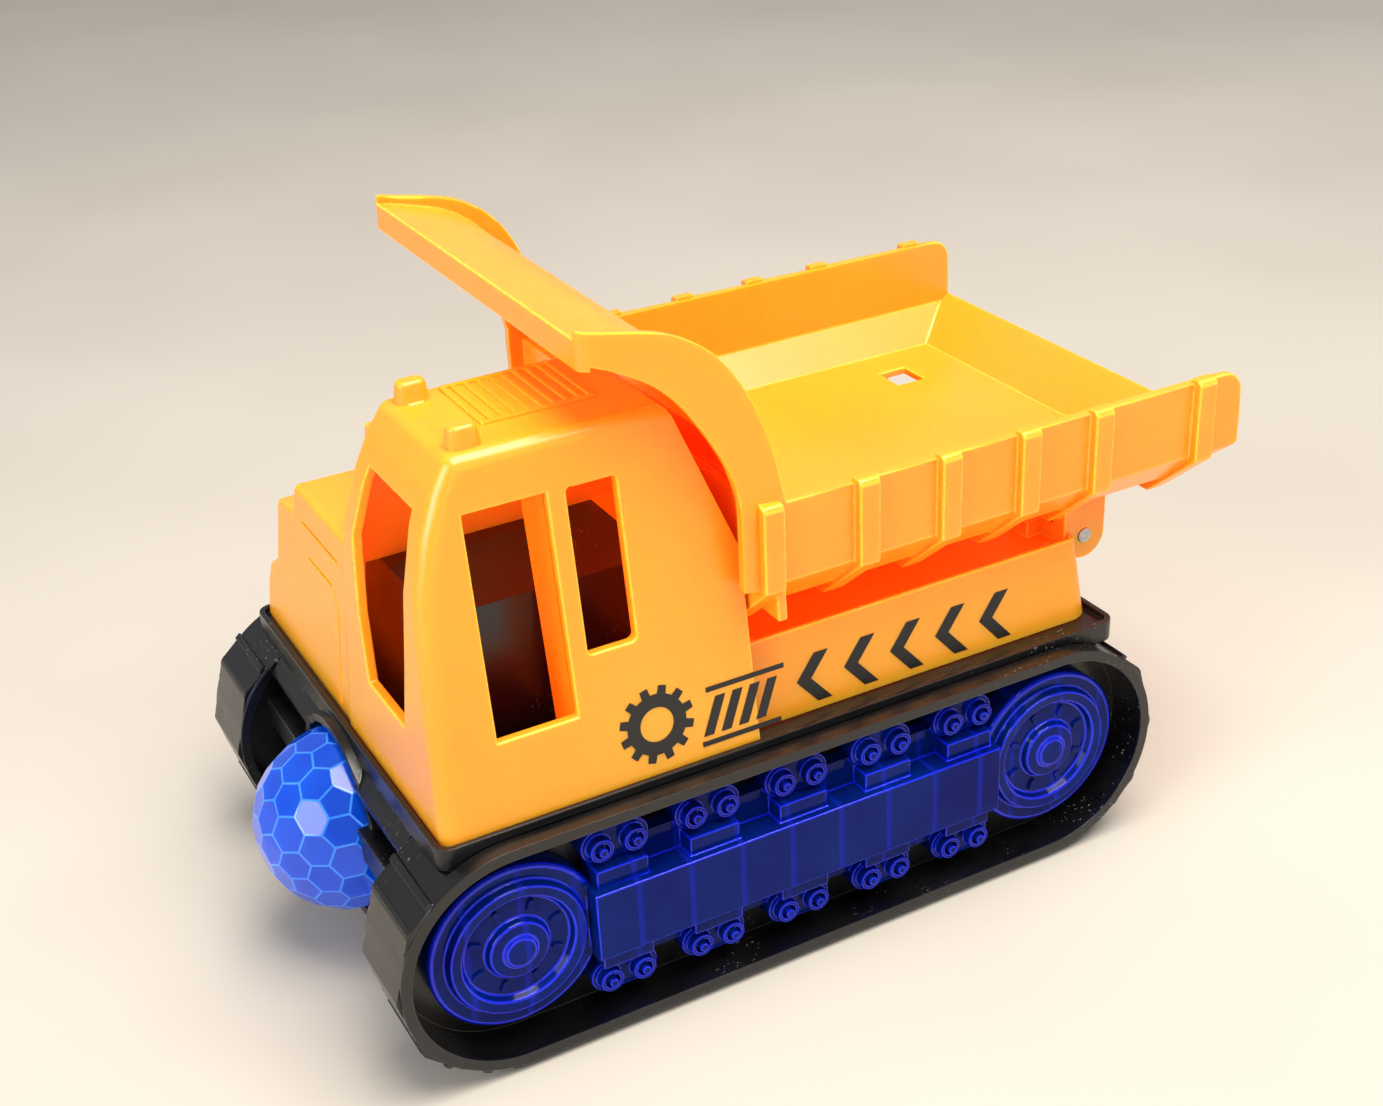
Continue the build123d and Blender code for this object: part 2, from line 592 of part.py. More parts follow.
with BuildPart() as rear_body:
    add(rear_outside)
    add(rear_hollow, mode=Mode.SUBTRACT)
    add(rear_well, mode=Mode.SUBTRACT)
    # Slots for the bed's hinge ears.
    for side in (-1, 1):
        with BuildSketch(Plane.XY.offset(hinge_z - ear_radius - swing)):
            with Locations((hinge_x, side * (slot_inner + slot_outer) / 2)):
                Rectangle(2 * (ear_radius + swing + 1.0), slot_outer - slot_inner)
        extrude(amount=20.0, mode=Mode.SUBTRACT)
        with BuildSketch(side_plane(side * lug_y + lug_thickness / 2)):
            with Locations((hinge_x, hinge_z)):
                Circle(lug_radius)
            with Locations((hinge_x + 4.0, hinge_z - 3.0)):
                Rectangle(8.0, 2 * lug_radius)
        extrude(amount=lug_thickness)
        # A post on the plate carries the bed's floor while the bed is down.
        with BuildSketch(Plane.XY.offset(rear_plate - 0.5)):
            with Locations((rest_x, side * 22.0)):
                RectangleRounded(7.0, 7.0, 1.0)
        extrude(amount=floor_under - gap - rear_plate + 0.5)
    with BuildSketch(side_plane(slot_inner)):
        with Locations((hinge_x, hinge_z)):
            Circle(pin_radius)
    extrude(amount=2 * slot_inner, mode=Mode.SUBTRACT)
    with BuildSketch(Plane.XY.offset(body_bottom)):
        with Locations(*[place for place in body_screw_places if place[0] < cab_rear]):
            Circle(3.0)
            Circle(screw_hole_radius, mode=Mode.SUBTRACT)
    extrude(amount=rear_plate - wall - body_bottom)
save(rear_body, "rear_body")

with BuildPart() as hinge_pin:
    with BuildSketch(side_plane(ear_outer + 0.2)):
        with Locations((hinge_x, hinge_z)):
            Circle(pin_radius)
    extrude(amount=2 * (ear_outer + 0.2))
save(hinge_pin, "hinge_pin")

# ================================================================ dump bed
# The bed is one yellow moulding: a flat floor that ramps up to the tail, slanted lower sides,
# upright walls with ribs and gussets, and a headboard that curves forward over the cab.
floor_half = 42.0
wall_foot = 82.5
ramp_start = rear_wheel_x - 35.0
ramp_top = 85.0
rib_length = 4.4
rib_reach = 2.0
rib_rise = 0.7             # the ribs' tops stand this far above the wall
rib_places = [bed_wall_front - offset_x for offset_x in (7.7, 27.9, 46.1, 64.4, 81.8, 107.6)]
canopy_tip = bed_front + 30.5
canopy_top = 137.5
cheek_lean = atan(4.2 / (canopy_top - bed_top))
drain_place = (hinge_x - 3.0, -29.0)
drain_size = (7.0, 8.0)


def bed_section(inner):
    """Half outline of the trough, from the wall's top to the floor, outside or inside."""
    if inner:
        return [(bed_half - bed_wall, bed_top + 5.0), (bed_half - bed_wall, wall_foot + 0.8),
                (floor_half, floor_top)]
    return [(bed_half, bed_top), (bed_half, wall_foot), (floor_half + 1.2, floor_under)]


def trough(inner, start, length):
    """The trough as a solid bar along the bed."""
    half = bed_section(inner)
    with BuildPart() as bar:
        with BuildSketch(Plane.YZ.offset(start)):
            with BuildLine():
                Polyline(*(half + [(-y, z) for y, z in reversed(half)]), close=True)
            make_face()
        extrude(amount=length)
    return bar.part


ramp_lean = (ramp_top - floor_top) / (ramp_start - bed_rear)
ramp_drop = bed_wall * sqrt(1 + ramp_lean * ramp_lean)
with BuildPart() as ramp:
    add(trough(False, bed_rear, ramp_start - bed_rear + 1.0))
    with BuildSketch(side_plane(bed_half + 1)):
        with BuildLine():
            Polyline((ramp_start + 1.0, floor_top), (ramp_start, floor_top), (bed_rear, ramp_top),
                     (bed_rear, ramp_top - ramp_drop), (ramp_start, floor_top - ramp_drop),
                     (ramp_start + 1.0, floor_top - ramp_drop), close=True)
        make_face()
    extrude(amount=2 * bed_half + 2, mode=Mode.INTERSECT)

with BuildPart() as under_ramp:
    with BuildSketch(side_plane(bed_half + 1)):
        with BuildLine():
            Polyline((ramp_start, floor_top - ramp_drop), (bed_rear - 1.0, ramp_top + ramp_lean - ramp_drop),
                     (bed_rear - 1.0, floor_under - 20.0), (ramp_start, floor_under - 20.0),
                     close=True)
        make_face()
    extrude(amount=2 * bed_half + 2)

# Cheek outline, seen from the side: up the rear edge, round the tip and back along the front.
cheek_rear_edge = [(bed_front - 6.0, bed_top), (bed_front - 3.6, 110.2), (bed_front, 119.8),
                   (bed_front + 5.6, 128.1), (bed_front + 14.2, 133.6), (bed_front + 23.0, 135.8),
                   (canopy_tip, canopy_top)]
cheek_front_edge = [(canopy_tip, 131.6), (bed_front + 21.2, 127.6), (bed_front + 15.6, 123.6),
                    (bed_front + 9.1, 115.0), (bed_front + 4.3, 105.0), (bed_wall_front, bed_top - 1.0)]
# The headboard's sheet follows the cheeks from the floor to the tip.
sheet_back = [(bed_front - 5.6, floor_under), (bed_front - 5.0, 88.0), (bed_front - 3.6, bed_top),
              (bed_front - 0.8, 110.0), (bed_front + 3.4, 119.0), (bed_front + 9.4, 126.8),
              (bed_front + 16.0, 131.4), (bed_front + 23.0, 133.8), (canopy_tip, 135.8)]
sheet_front = [(canopy_tip, 130.2), (canopy_tip - 1.8, 130.2), (canopy_tip - 1.8, 133.4),
               (bed_front + 22.6, 131.9), (bed_front + 16.8, 129.6), (bed_front + 10.8, 125.4),
               (bed_front + 5.2, 118.0), (bed_front + 1.2, 109.4), (bed_front - 1.7, bed_top),
               (bed_front - 3.1, 88.0), (bed_front - 3.6, floor_under)]

with BuildPart() as bed:
    with BuildSketch(side_plane(bed_half)):
        with BuildLine():
            Line(sheet_back[0], sheet_back[1])
            Spline(*sheet_back[1:])
            Polyline(sheet_back[-1], *sheet_front[:3])
            Spline(*sheet_front[2:-1])
            Polyline(sheet_front[-2], sheet_front[-1], sheet_back[0])
        make_face()
    extrude(amount=2 * bed_half)
    for side in (-1, 1):
        lean_plane = Plane(origin=(0, side * bed_half, bed_top), x_dir=(1, 0, 0),
                           z_dir=(0, side * cos(cheek_lean), sin(cheek_lean)))
        split(bisect_by=lean_plane, keep=Keep.BOTTOM)
    # The trough is cut from a solid bar and closed by the ramp at its tail.
    add(trough(False, bed_rear, bed_front - bed_rear))
    for side in (-1, 1):
        with BuildSketch(Plane.YZ.offset(bed_front - 1.0)):
            with Locations((side * (bed_half - bed_wall / 2), (bed_top + wall_foot) / 2)):
                Rectangle(bed_wall, bed_top - wall_foot)
        extrude(amount=bed_wall_front - bed_front + 1.0)
    add(under_ramp.part, mode=Mode.SUBTRACT)
    add(trough(True, bed_rear - 1.0, bed_front - 5.0 - bed_rear + 1.0), mode=Mode.SUBTRACT)
    add(ramp.part)
    # Leaning cheeks close the headboard's sides.
    for side in (-1, 1):
        lean_plane = Plane(origin=(0, side * bed_half, bed_top), x_dir=(1, 0, 0),
                           z_dir=(0, side * cos(cheek_lean), sin(cheek_lean)))
        # Local height runs along the leaning plane: up it on one side, down it on the other.
        up = -side / cos(cheek_lean)
        rear_line = [(x, up * (z - bed_top)) for x, z in cheek_rear_edge]
        front_line = [(x, up * (z - bed_top)) for x, z in cheek_front_edge]
        with BuildSketch(lean_plane):
            with BuildLine():
                Spline(*rear_line)
                Line(rear_line[-1], front_line[0])
                Spline(*front_line)
                Line(front_line[-1], rear_line[0])
            make_face()
        extrude(amount=-bed_wall)
    # The headboard's lip turns round into the cheeks.
    lip_corners = [e for e in bed.edges() if e.center().X > canopy_tip - 0.1
                   and abs(e.center().Y) > bed_half - 8.0
                   and e.length > 4.0 and abs(e.tangent_at(0.5).Y) < 0.5]
    fillet(lip_corners, radius=2.2)
    # Upright ribs outside the walls run down into gussets under the slanted sides.
    for rib_x in rib_places:
        rib_start = max(rib_x, bed_rear + 3.0)
        for side in (-1, 1):
            with BuildSketch(Plane.YZ.offset(rib_start)):
                with BuildLine():
                    Polyline((side * (bed_half - 1.0), bed_top),
                             (side * (bed_half - 1.0), bed_top + rib_rise),
                             (side * (bed_half + rib_reach - 0.6), bed_top + rib_rise),
                             (side * (bed_half + rib_reach), bed_top - 0.2),
                             (side * (bed_half + rib_reach), wall_foot - 0.4),
                             (side * (floor_half - 2.4), floor_under - 4.2),
                             (side * (floor_half - 6.4), floor_under - 4.2),
                             (side * (floor_half - 9.0), floor_under + 0.4),
                             (side * (floor_half + 1.2), floor_under + 0.4),
                             (side * (bed_half - 1.0), wall_foot), close=True)
                make_face()
            extrude(amount=rib_length)
    # Round corners at the tail, a drain hole, and the ears that ride on the hinge pin.
    tail = [e for e in bed.edges() if abs(e.center().X - bed_rear) < 0.01
            and e.center().Z > bed_top - 0.1 and e.length < 2 * bed_wall]
    fillet(tail, radius=4.5)
    with BuildSketch(Plane.XY.offset(floor_under - 1.0)):
        with Locations(drain_place):
            Rectangle(*drain_size)
    extrude(amount=4.0, mode=Mode.SUBTRACT)
    for side in (-1, 1):
        ear_middle = side * (ear_outer - ear_thickness / 2)
        with BuildSketch(side_plane(ear_middle + ear_thickness / 2)):
            with Locations((hinge_x, hinge_z)):
                Circle(ear_radius)
            with Locations((hinge_x, (hinge_z + floor_under) / 2 + 0.2)):
                Rectangle(2 * ear_radius, floor_under - hinge_z + 0.4)
            with Locations((hinge_x, hinge_z)):
                Circle(pin_radius + running, mode=Mode.SUBTRACT)
        extrude(amount=ear_thickness)
save(bed, "bed")

# ================================================================ base cover and battery bay
# The base cover closes the tub. It has a round hole for the turntable, openings for the rear
# rollers, the battery bay and the switch's slot, and it is held up by screws into the posts.
bay_half_length = 1.5 * battery_pitch + 1.2      # along the truck
bay_half_width = battery_length / 2 + 3.5        # contacts stand at both ends of the batteries
bay_wall = 1.5
bay_roof = battery_z + battery_radius + 0.6
turntable_gap = 0.5
flange_radius = turntable_radius + 2.6
retainer_height = 2.6
roller_width = 8.0
roller_y = 22.6
switch_x = battery_x
switch_y = tub_half - wall - 2.7
switch_size = (9.0, 4.2, 4.0)
switch_travel = 2.5
knob_size = (2.6, 2.0)
door_gap = 0.25
door_screw_x = battery_x - bay_half_length - bay_wall - 2.6
tongue_reach = door_screw_x - 4.4
tongue_half = 5.0
axle_cradle_y = (roller_y - roller_width / 2 - 3.0, roller_y + roller_width / 2 + 2.4)
retainer_reach = flange_radius + 2.2
retainer_screws = [(drive_x + retainer_reach * cos(radians(a)), retainer_reach * sin(radians(a)))
                   for a in (60, 120, 240, 300)]

with BuildPart() as base_cover:
    with BuildSketch(Plane.XY.offset(base_bottom)):
        with Locations(((tub_front + tub_rear) / 2, 0)):
            Rectangle(tub_front - tub_rear, 2 * tub_half)
    extrude(amount=base_thickness)
    # Ring wall round the turntable's hole: the flange turns inside it.
    with BuildSketch(Plane.XY.offset(base_top)):
        with Locations((drive_x, 0)):
            Circle(flange_radius + 3.6)
            Circle(flange_radius + turntable_gap, mode=Mode.SUBTRACT)
    extrude(amount=retainer_height)
    with BuildSketch(Plane.XY.offset(base_bottom)):
        with Locations((drive_x, 0)):
            Circle(turntable_radius + turntable_gap)
        with Locations(*[(rear_roller_x, side * roller_y) for side in (-1, 1)]):
            Rectangle(2 * rear_roller_radius + 2, roller_width + 2)
        with Locations((switch_x, switch_y)):
            Rectangle(knob_size[0] + switch_travel + 1.0, knob_size[1] + 0.8)
        with Locations(((tongue_reach + battery_x) / 2, 0)):
            Rectangle(battery_x - tongue_reach, 2 * tongue_half)
    extrude(amount=base_thickness, mode=Mode.SUBTRACT)
    with BuildSketch(Plane.XY.offset(base_bottom)):
        with Locations(*post_places):
            Circle(1.5)
        with Locations(*retainer_screws):
            Circle(screw_hole_radius)
    extrude(amount=base_thickness + retainer_height, mode=Mode.SUBTRACT)
    # Battery bay: a box open below, roofed over the batteries.
    with BuildSketch(Plane.XY.offset(base_top)):
        with Locations((battery_x, 0)):
            Rectangle(2 * (bay_half_length + bay_wall), 2 * (bay_half_width + bay_wall))
    extrude(amount=bay_roof + bay_wall - base_top)
    with BuildSketch(Plane.XY.offset(base_bottom)):
        with Locations((battery_x, 0)):
            Rectangle(2 * bay_half_length, 2 * bay_half_width)
    extrude(amount=bay_roof - base_bottom, mode=Mode.SUBTRACT)
    # Slots in the bay's front wall take the door's tabs.
    with BuildSketch(Plane.YZ.offset(battery_x + bay_half_length - 0.5)):
        with Locations((-14.0, base_top + 1.2), (14.0, base_top + 1.2)):
            Rectangle(7.0, 2.8)
    extrude(amount=bay_wall + 1.0, mode=Mode.SUBTRACT)
    # The door's screw goes up into a boss on the bay's rear wall.
    with BuildSketch(Plane.XY.offset(base_top)):
        with Locations((door_screw_x, 0)):
            Circle(3.2)
            Circle(screw_hole_radius, mode=Mode.SUBTRACT)
    extrude(amount=8.0)
    # Cradles for the rear axle.
    for side in (-1, 1):
        for cradle_y in axle_cradle_y:
            with BuildSketch(side_plane(side * cradle_y + 0.9)):
                with Locations((rear_roller_x, (base_top + rear_roller_radius + 3.0) / 2)):
                    Rectangle(7.0, rear_roller_radius + 3.0 - base_top)
                with Locations((rear_roller_x, rear_roller_radius)):
                    Circle(axle_radius + running, mode=Mode.SUBTRACT)
            extrude(amount=1.8)
save(base_cover, "base_cover")

door_thickness = base_thickness
grip_depth = 0.6
door_screw_seat = base_bottom + 1.0      # its head is sunk in the tongue
door_x = battery_x + bay_half_length - door_gap
door_length = 2 * bay_half_length - 2 * door_gap
with BuildPart() as battery_door:
    with BuildSketch(Plane.XY.offset(base_bottom)):
        with Locations((battery_x, 0)):
            Rectangle(door_length, 2 * (bay_half_width - door_gap))
            # A thumb notch and grip lines are cut across the door.
            with GridLocations(3.0, 1, 4, 1):
                Rectangle(0.8, 16.0, mode=Mode.SUBTRACT)
    extrude(amount=grip_depth)
    with BuildSketch(Plane.XY.offset(base_bottom + grip_depth)):
        with Locations((battery_x, 0)):
            Rectangle(door_length, 2 * (bay_half_width - door_gap))
    extrude(amount=door_thickness - grip_depth)
    with BuildSketch(Plane.XY.offset(base_bottom)):
        tongue_end = tongue_reach + door_gap
        with Locations(((tongue_end + battery_x - bay_half_length + 1.0) / 2, 0)):
            Rectangle(battery_x - bay_half_length + 1.0 - tongue_end, 2 * (tongue_half - door_gap))
    extrude(amount=door_thickness)
    with BuildSketch(Plane.XY.offset(base_bottom)):
        with Locations((door_screw_x, 0)):
            Circle(1.5)
    extrude(amount=door_thickness, mode=Mode.SUBTRACT)
    with BuildSketch(Plane.XY.offset(base_bottom)):
        with Locations((door_screw_x, 0)):
            Circle(screw_head_radius + 0.4)
    extrude(amount=door_screw_seat - base_bottom, mode=Mode.SUBTRACT)
    # Tabs reach into the bay's front wall, and a tongue under the screw boss takes the screw.
    with BuildSketch(Plane.XY.offset(base_top)):
        with Locations((door_x - 1.0, -14.0), (door_x - 1.0, 14.0)):
            Rectangle(4.0, 6.0)
    extrude(amount=1.2)
save(battery_door, "battery_door")


def pan_screw(x, y, seat, length, up=1, head_radius=screw_head_radius, head_height=screw_head_height):
    """A cross-head self-tapping screw, its head's seat at one height and its shank going up."""
    with BuildPart() as screw:
        with BuildSketch(Plane.XY.offset(seat)):
            with Locations((x, y)):
                Circle(screw_hole_radius)
        extrude(amount=up * length)
        with BuildSketch(Plane.XY.offset(seat)):
            with Locations((x, y)):
                Circle(head_radius)
        extrude(amount=-up * head_height, taper=12)
        with BuildSketch(Plane.XY.offset(seat - up * head_height)):
            with Locations((x, y)):
                Rectangle(2.6, 0.6)
                Rectangle(0.6, 2.6)
        extrude(amount=up * 0.6 * head_height, mode=Mode.SUBTRACT)
    return screw.part


def screw_group(screws, name):
    """Identical screws share one node, as separate solids."""
    group = Compound(children=screws)
    group.label = name
    export_step(group, f"parts/{name}.step")


screw_group([pan_screw(door_screw_x, 0, door_screw_seat, 7.0, head_height=0.9)], "battery_door_screw")
screw_group([pan_screw(x, y, base_bottom, 12.0) for x, y in post_places], "base_screws")
screw_group([pan_screw(x, y, deck_under, 11.0) for x, y in body_screw_places], "body_screws")

# ================================================================ batteries and contacts
# Three AA cells lie across the truck, side by side, between bent contact strips.
cell_places = [battery_x + step * battery_pitch for step in (-1, 0, 1)]
for count, cell_x in enumerate(cell_places):
    turned = 1 if count % 2 == 0 else -1
    with BuildPart() as battery:
        with BuildSketch(side_plane(-turned * battery_length / 2)):
            with Locations((cell_x, battery_z)):
                Circle(battery_radius)
        extrude(amount=-turned * (battery_length - 1.4))
        with BuildSketch(side_plane(turned * battery_length / 2)):
            with Locations((cell_x, battery_z)):
                Circle(2.7)
        extrude(amount=turned * 1.6)
    save(battery, f"battery_{count + 1}")

strip = 0.4
for side, name in ((1, "battery_contacts_left"), (-1, "battery_contacts_right")):
    with BuildPart() as contacts:
        for cell_x in cell_places:
            with BuildSketch(Plane.YZ.offset(cell_x - 4.0)):
                with BuildLine():
                    wall_y = side * (bay_half_width - 0.05)
                    inner_y = side * (battery_length / 2 + 0.15)
                    Polyline((wall_y, battery_z - 5.5), (wall_y, battery_z + 5.5),
                             (wall_y - side * strip, battery_z + 5.5),
                             (inner_y, battery_z + 1.6), (inner_y, battery_z - 1.6),
                             (wall_y - side * strip, battery_z - 5.5), close=True)
                make_face()
                offset(amount=-strip, kind=Kind.INTERSECTION, mode=Mode.SUBTRACT)
            extrude(amount=8.0)
    save(contacts, name)

# ================================================================ electronics
# A slide switch under the base, a circuit board over the battery bay, a small loudspeaker
# under the deck, one lamp behind each insert and one in the nose lens.
switch_floor = base_top + 0.1
with BuildPart() as switch_body:
    with BuildSketch(Plane.XY.offset(switch_floor)):
        with Locations((switch_x, switch_y)):
            Rectangle(switch_size[0], switch_size[1])
    extrude(amount=switch_size[2])
    with BuildSketch(Plane.XY.offset(switch_floor)):
        with Locations((switch_x, switch_y)):
            Rectangle(knob_size[0] + switch_travel + 0.8, knob_size[1] + 0.6)
    extrude(amount=1.6, mode=Mode.SUBTRACT)
save(switch_body, "switch_body")

# The knob rests at the rear end of its slot, which is off, and slides forward to on.
knob_x = switch_x - switch_travel / 2
with BuildPart() as switch_knob:
    with BuildSketch(Plane.XY.offset(base_bottom - 1.2)):
        with Locations((knob_x, switch_y)):
            Rectangle(*knob_size)
            with GridLocations(0.9, 1, 3, 1):
                Rectangle(0.3, knob_size[1], mode=Mode.SUBTRACT)
    extrude(amount=0.4)
    with BuildSketch(Plane.XY.offset(base_bottom - 0.8)):
        with Locations((knob_x, switch_y)):
            Rectangle(*knob_size)
    extrude(amount=switch_floor + 1.3 - base_bottom + 0.8)
save(switch_knob, "switch_knob")

board_z = bay_roof + bay_wall + 2.0
board_size = (38.0, 34.0)
with BuildPart() as circuit_board:
    with BuildSketch(Plane.XY.offset(board_z)):
        with Locations((battery_x, 0)):
            Rectangle(*board_size)
            with GridLocations(board_size[0] - 6, board_size[1] - 6, 2, 2):
                Circle(1.2, mode=Mode.SUBTRACT)
    extrude(amount=1.6)
    # Four stand-off pads under the board rest on the bay's roof.
    with BuildSketch(Plane.XY.offset(board_z - 2.0)):
        with Locations((battery_x, 0)):
            with GridLocations(board_size[0] - 6, board_size[1] - 6, 2, 2):
                Circle(2.4)
                Circle(1.2, mode=Mode.SUBTRACT)
    extrude(amount=2.0)
save(circuit_board, "circuit_board")

with BuildPart() as board_parts:
    with BuildSketch(Plane.XY.offset(board_z + 1.6)):
        with Locations((battery_x - 6.0, 4.0)):
            Rectangle(10.0, 7.0)
    extrude(amount=2.0)
    with BuildSketch(Plane.XY.offset(board_z + 1.6)):
        with Locations((battery_x + 9.0, -8.0), (battery_x + 9.0, 7.0)):
            Circle(2.5)
    extrude(amount=6.5)
    with BuildSketch(Plane.XY.offset(board_z + 1.6)):
        with Locations((battery_x - 7.0, -9.0)):
            with GridLocations(5.0, 1, 3, 1):
                Rectangle(3.6, 2.2)
    extrude(amount=2.4)
save(board_parts, "board_parts")

speaker_radius = 13.5
with BuildPart() as speaker_frame:
    with BuildSketch(Plane.XZ):
        with BuildLine():
            Polyline((0, deck_under - 8.5), (6.5, deck_under - 8.5), (6.5, deck_under - 4.5),
                     (11.0, deck_under - 3.0), (speaker_radius, deck_under - 1.6),
                     (speaker_radius, deck_under - 0.1), (speaker_radius - 1.2, deck_under - 0.1),
                     (speaker_radius - 1.2, deck_under - 1.2), (10.5, deck_under - 2.2),
                     (5.5, deck_under - 3.8), (0, deck_under - 3.8), close=True)
        make_face()
    revolve(axis=Axis.Z)
with BuildPart() as speaker:
    add(Pos(speaker_x, 0, 0) * speaker_frame.part)
save(speaker, "speaker")

cone_wall = 0.4
with BuildPart() as cone_shape:
    with BuildSketch(Plane.XZ):
        with BuildLine():
            Polyline((0, deck_under - 3.6), (4.6, deck_under - 3.6), (11.2, deck_under - 1.0),
                     (11.2, deck_under - 1.0 + cone_wall), (4.4, deck_under - 3.6 + cone_wall),
                     (0, deck_under - 3.6 + cone_wall), close=True)
        make_face()
    revolve(axis=Axis.Z)
with BuildPart() as speaker_cone:
    add(Pos(speaker_x, 0, 0) * cone_shape.part)
save(speaker_cone, "speaker_cone")

lamp_radius = 2.5


def lamp(position, direction):
    """A 5 mm lamp: a short collar, a cylinder and a round nose, pointing one way."""
    with BuildPart() as bulb:
        with BuildSketch(Plane.XZ):
            with BuildLine():
                Line((0, 0), (lamp_radius + 0.4, 0))
                Line((lamp_radius + 0.4, 0), (lamp_radius + 0.4, 1.0))
                Line((lamp_radius + 0.4, 1.0), (lamp_radius, 1.0))
                Line((lamp_radius, 1.0), (lamp_radius, 5.0))
                RadiusArc((lamp_radius, 5.0), (0, 5.0 + lamp_radius), -lamp_radius)
                Line((0, 5.0 + lamp_radius), (0, 0))
            make_face()
        revolve(axis=Axis.Z)
    return Plane(origin=position, z_dir=direction).location * bulb.part


for side, name in ((1, "side_lamp_left"), (-1, "side_lamp_right")):
    with BuildPart() as side_lamp:
        add(lamp((side_light_x, side * (tub_half - wall - 1.1), axle_height + 1), (0, side, 0)))
    save(side_lamp, name)
with BuildPart() as nose_lamp:
    add(lamp((ring_front + 3.0, 0, lens_z), (1, 0, 0)))
save(nose_lamp, "nose_lamp")

# A small round board carries the nose lamp and seats against the lens ring.
with BuildPart() as nose_board:
    with BuildSketch(Plane.YZ.offset(ring_front + 0.1)):
        with Locations((0, lens_z)):
            Circle(lens_radius - lens_wall - 0.6)
    extrude(amount=1.6)
    with BuildSketch(Plane.YZ.offset(ring_front + 1.7)):
        with Locations((0, lens_z)):
            Circle(3.4)
    extrude(amount=1.3)
save(nose_board, "nose_board")

# ================================================================ swivelling drive unit
# A turntable turns freely in the base cover. On it stand two gearbox plates with a small can
# motor, three gear stages and the driven axle with its two wheels.
module = 0.6               # tooth size of every gear
wheel_teeth = 30
small_teeth = 10
axle_pinion_teeth = 12
gear_width = 1.8
shaft_radius = 1.0
gear_layers = (4.0, 6.2, 8.4)      # where each stage's gears start, across the truck
plate_wall = 1.5
plate_inner_y = 3.5        # left face of the inner plate
plate_outer_y = 10.5       # right face of the outer plate
flange_top = base_top + 1.8
axle_z = drive_wheel_radius


def step_from(start, teeth_a, teeth_b, angle):
    """The centre of the next shaft, one mesh away at an angle above the forward direction."""
    reach = module * (teeth_a + teeth_b) / 2
    return (start[0] + reach * cos(radians(angle)), start[1] + reach * sin(radians(angle)))


mesh_angles = (135.5, 37.5, 29.0)
axle_shaft = (drive_x, axle_z)
shaft_1 = step_from(axle_shaft, wheel_teeth, axle_pinion_teeth, mesh_angles[0])
shaft_2 = step_from(shaft_1, wheel_teeth, small_teeth, mesh_angles[1])
motor_shaft = step_from(shaft_2, wheel_teeth, small_teeth, mesh_angles[2])


def involute(pressure):
    """The involute function of a pressure angle."""
    return tan(pressure) - pressure


def gear_outline(centre, teeth, tooth_angle, hole):
    """A spur gear's face: rounded involute teeth with play, one tooth at the given angle."""
    pitch_radius = module * teeth / 2
    pressure = radians(20)
    base_radius = pitch_radius * cos(pressure)
    play = 0.16
    corners = []
    radii = (pitch_radius - 1.15 * module, pitch_radius - 0.45 * module, pitch_radius,
             pitch_radius + 0.4 * module, pitch_radius + 0.8 * module)
    half_angles = []
    for radius in radii:
        ratio = min(1.0, base_radius / radius)
        at_radius = atan(sqrt(1 - ratio * ratio) / ratio)
        half_angles.append((1 - play) * pi / (2 * teeth) + involute(pressure) - involute(at_radius))
    for tooth in range(teeth):
        middle = radians(tooth_angle) + 2 * pi * tooth / teeth
        flank = list(zip(radii, half_angles))
        for radius, half in flank:
            corners.append((radius * cos(middle - half), radius * sin(middle - half)))
        for radius, half in reversed(flank):
            corners.append((radius * cos(middle + half), radius * sin(middle + half)))
    with BuildSketch() as face:
        with BuildLine():
            Polyline(*corners, close=True)
        make_face()
        if hole:
            Circle(hole, mode=Mode.SUBTRACT)
    return Pos(centre[0], centre[1]) * face.sketch


def gear(centre, teeth, tooth_angle, layer, hole=0.0):
    """One gear of the train, its near face at the layer's height across the truck."""
    outline = gear_outline(centre, teeth, tooth_angle, hole)
    return extrude(side_plane(layer).location * outline, amount=-gear_width, dir=(0, -1, 0))


def gap_angle(mesh_angle, teeth):
    """The tooth angle that turns a gap back towards the gear before it."""
    return mesh_angle + 180 + 180 / teeth


with BuildPart() as turntable:
    with BuildSketch(Plane.XY.offset(base_bottom + 0.2)):
        with Locations((drive_x, 0)):
            Circle(turntable_radius)
    extrude(amount=flange_top - base_bottom - 0.2)
    with BuildSketch(Plane.XY.offset(base_top + gap)):
        with Locations((drive_x, 0)):
            Circle(flange_radius)
    extrude(amount=flange_top - base_top - gap)
    # A block on the right carries the axle's other end.
    with BuildSketch(side_plane(-9.6)):
        with Locations((drive_x, (flange_top + axle_z + 3.0) / 2 - 0.5)):
            Rectangle(8.0, axle_z + 4.0 - flange_top)
    extrude(amount=2.0)
    with BuildSketch(Plane.XY.offset(base_bottom)):
        with Locations((drive_x, 15.6), (drive_x, -15.6)):
            Rectangle(2 * drive_wheel_radius - 0.6, 7.4)
        with Locations((drive_x, gear_layers[0] + gear_width / 2)):
            Rectangle(18.4, gear_width + 1.2)
    extrude(amount=flange_top - base_bottom, mode=Mode.SUBTRACT)
    with BuildSketch(side_plane(-9.0)):
        with Locations(axle_shaft):
            Circle(axle_radius + running)
    extrude(amount=3.0, mode=Mode.SUBTRACT)
save(turntable, "turntable")

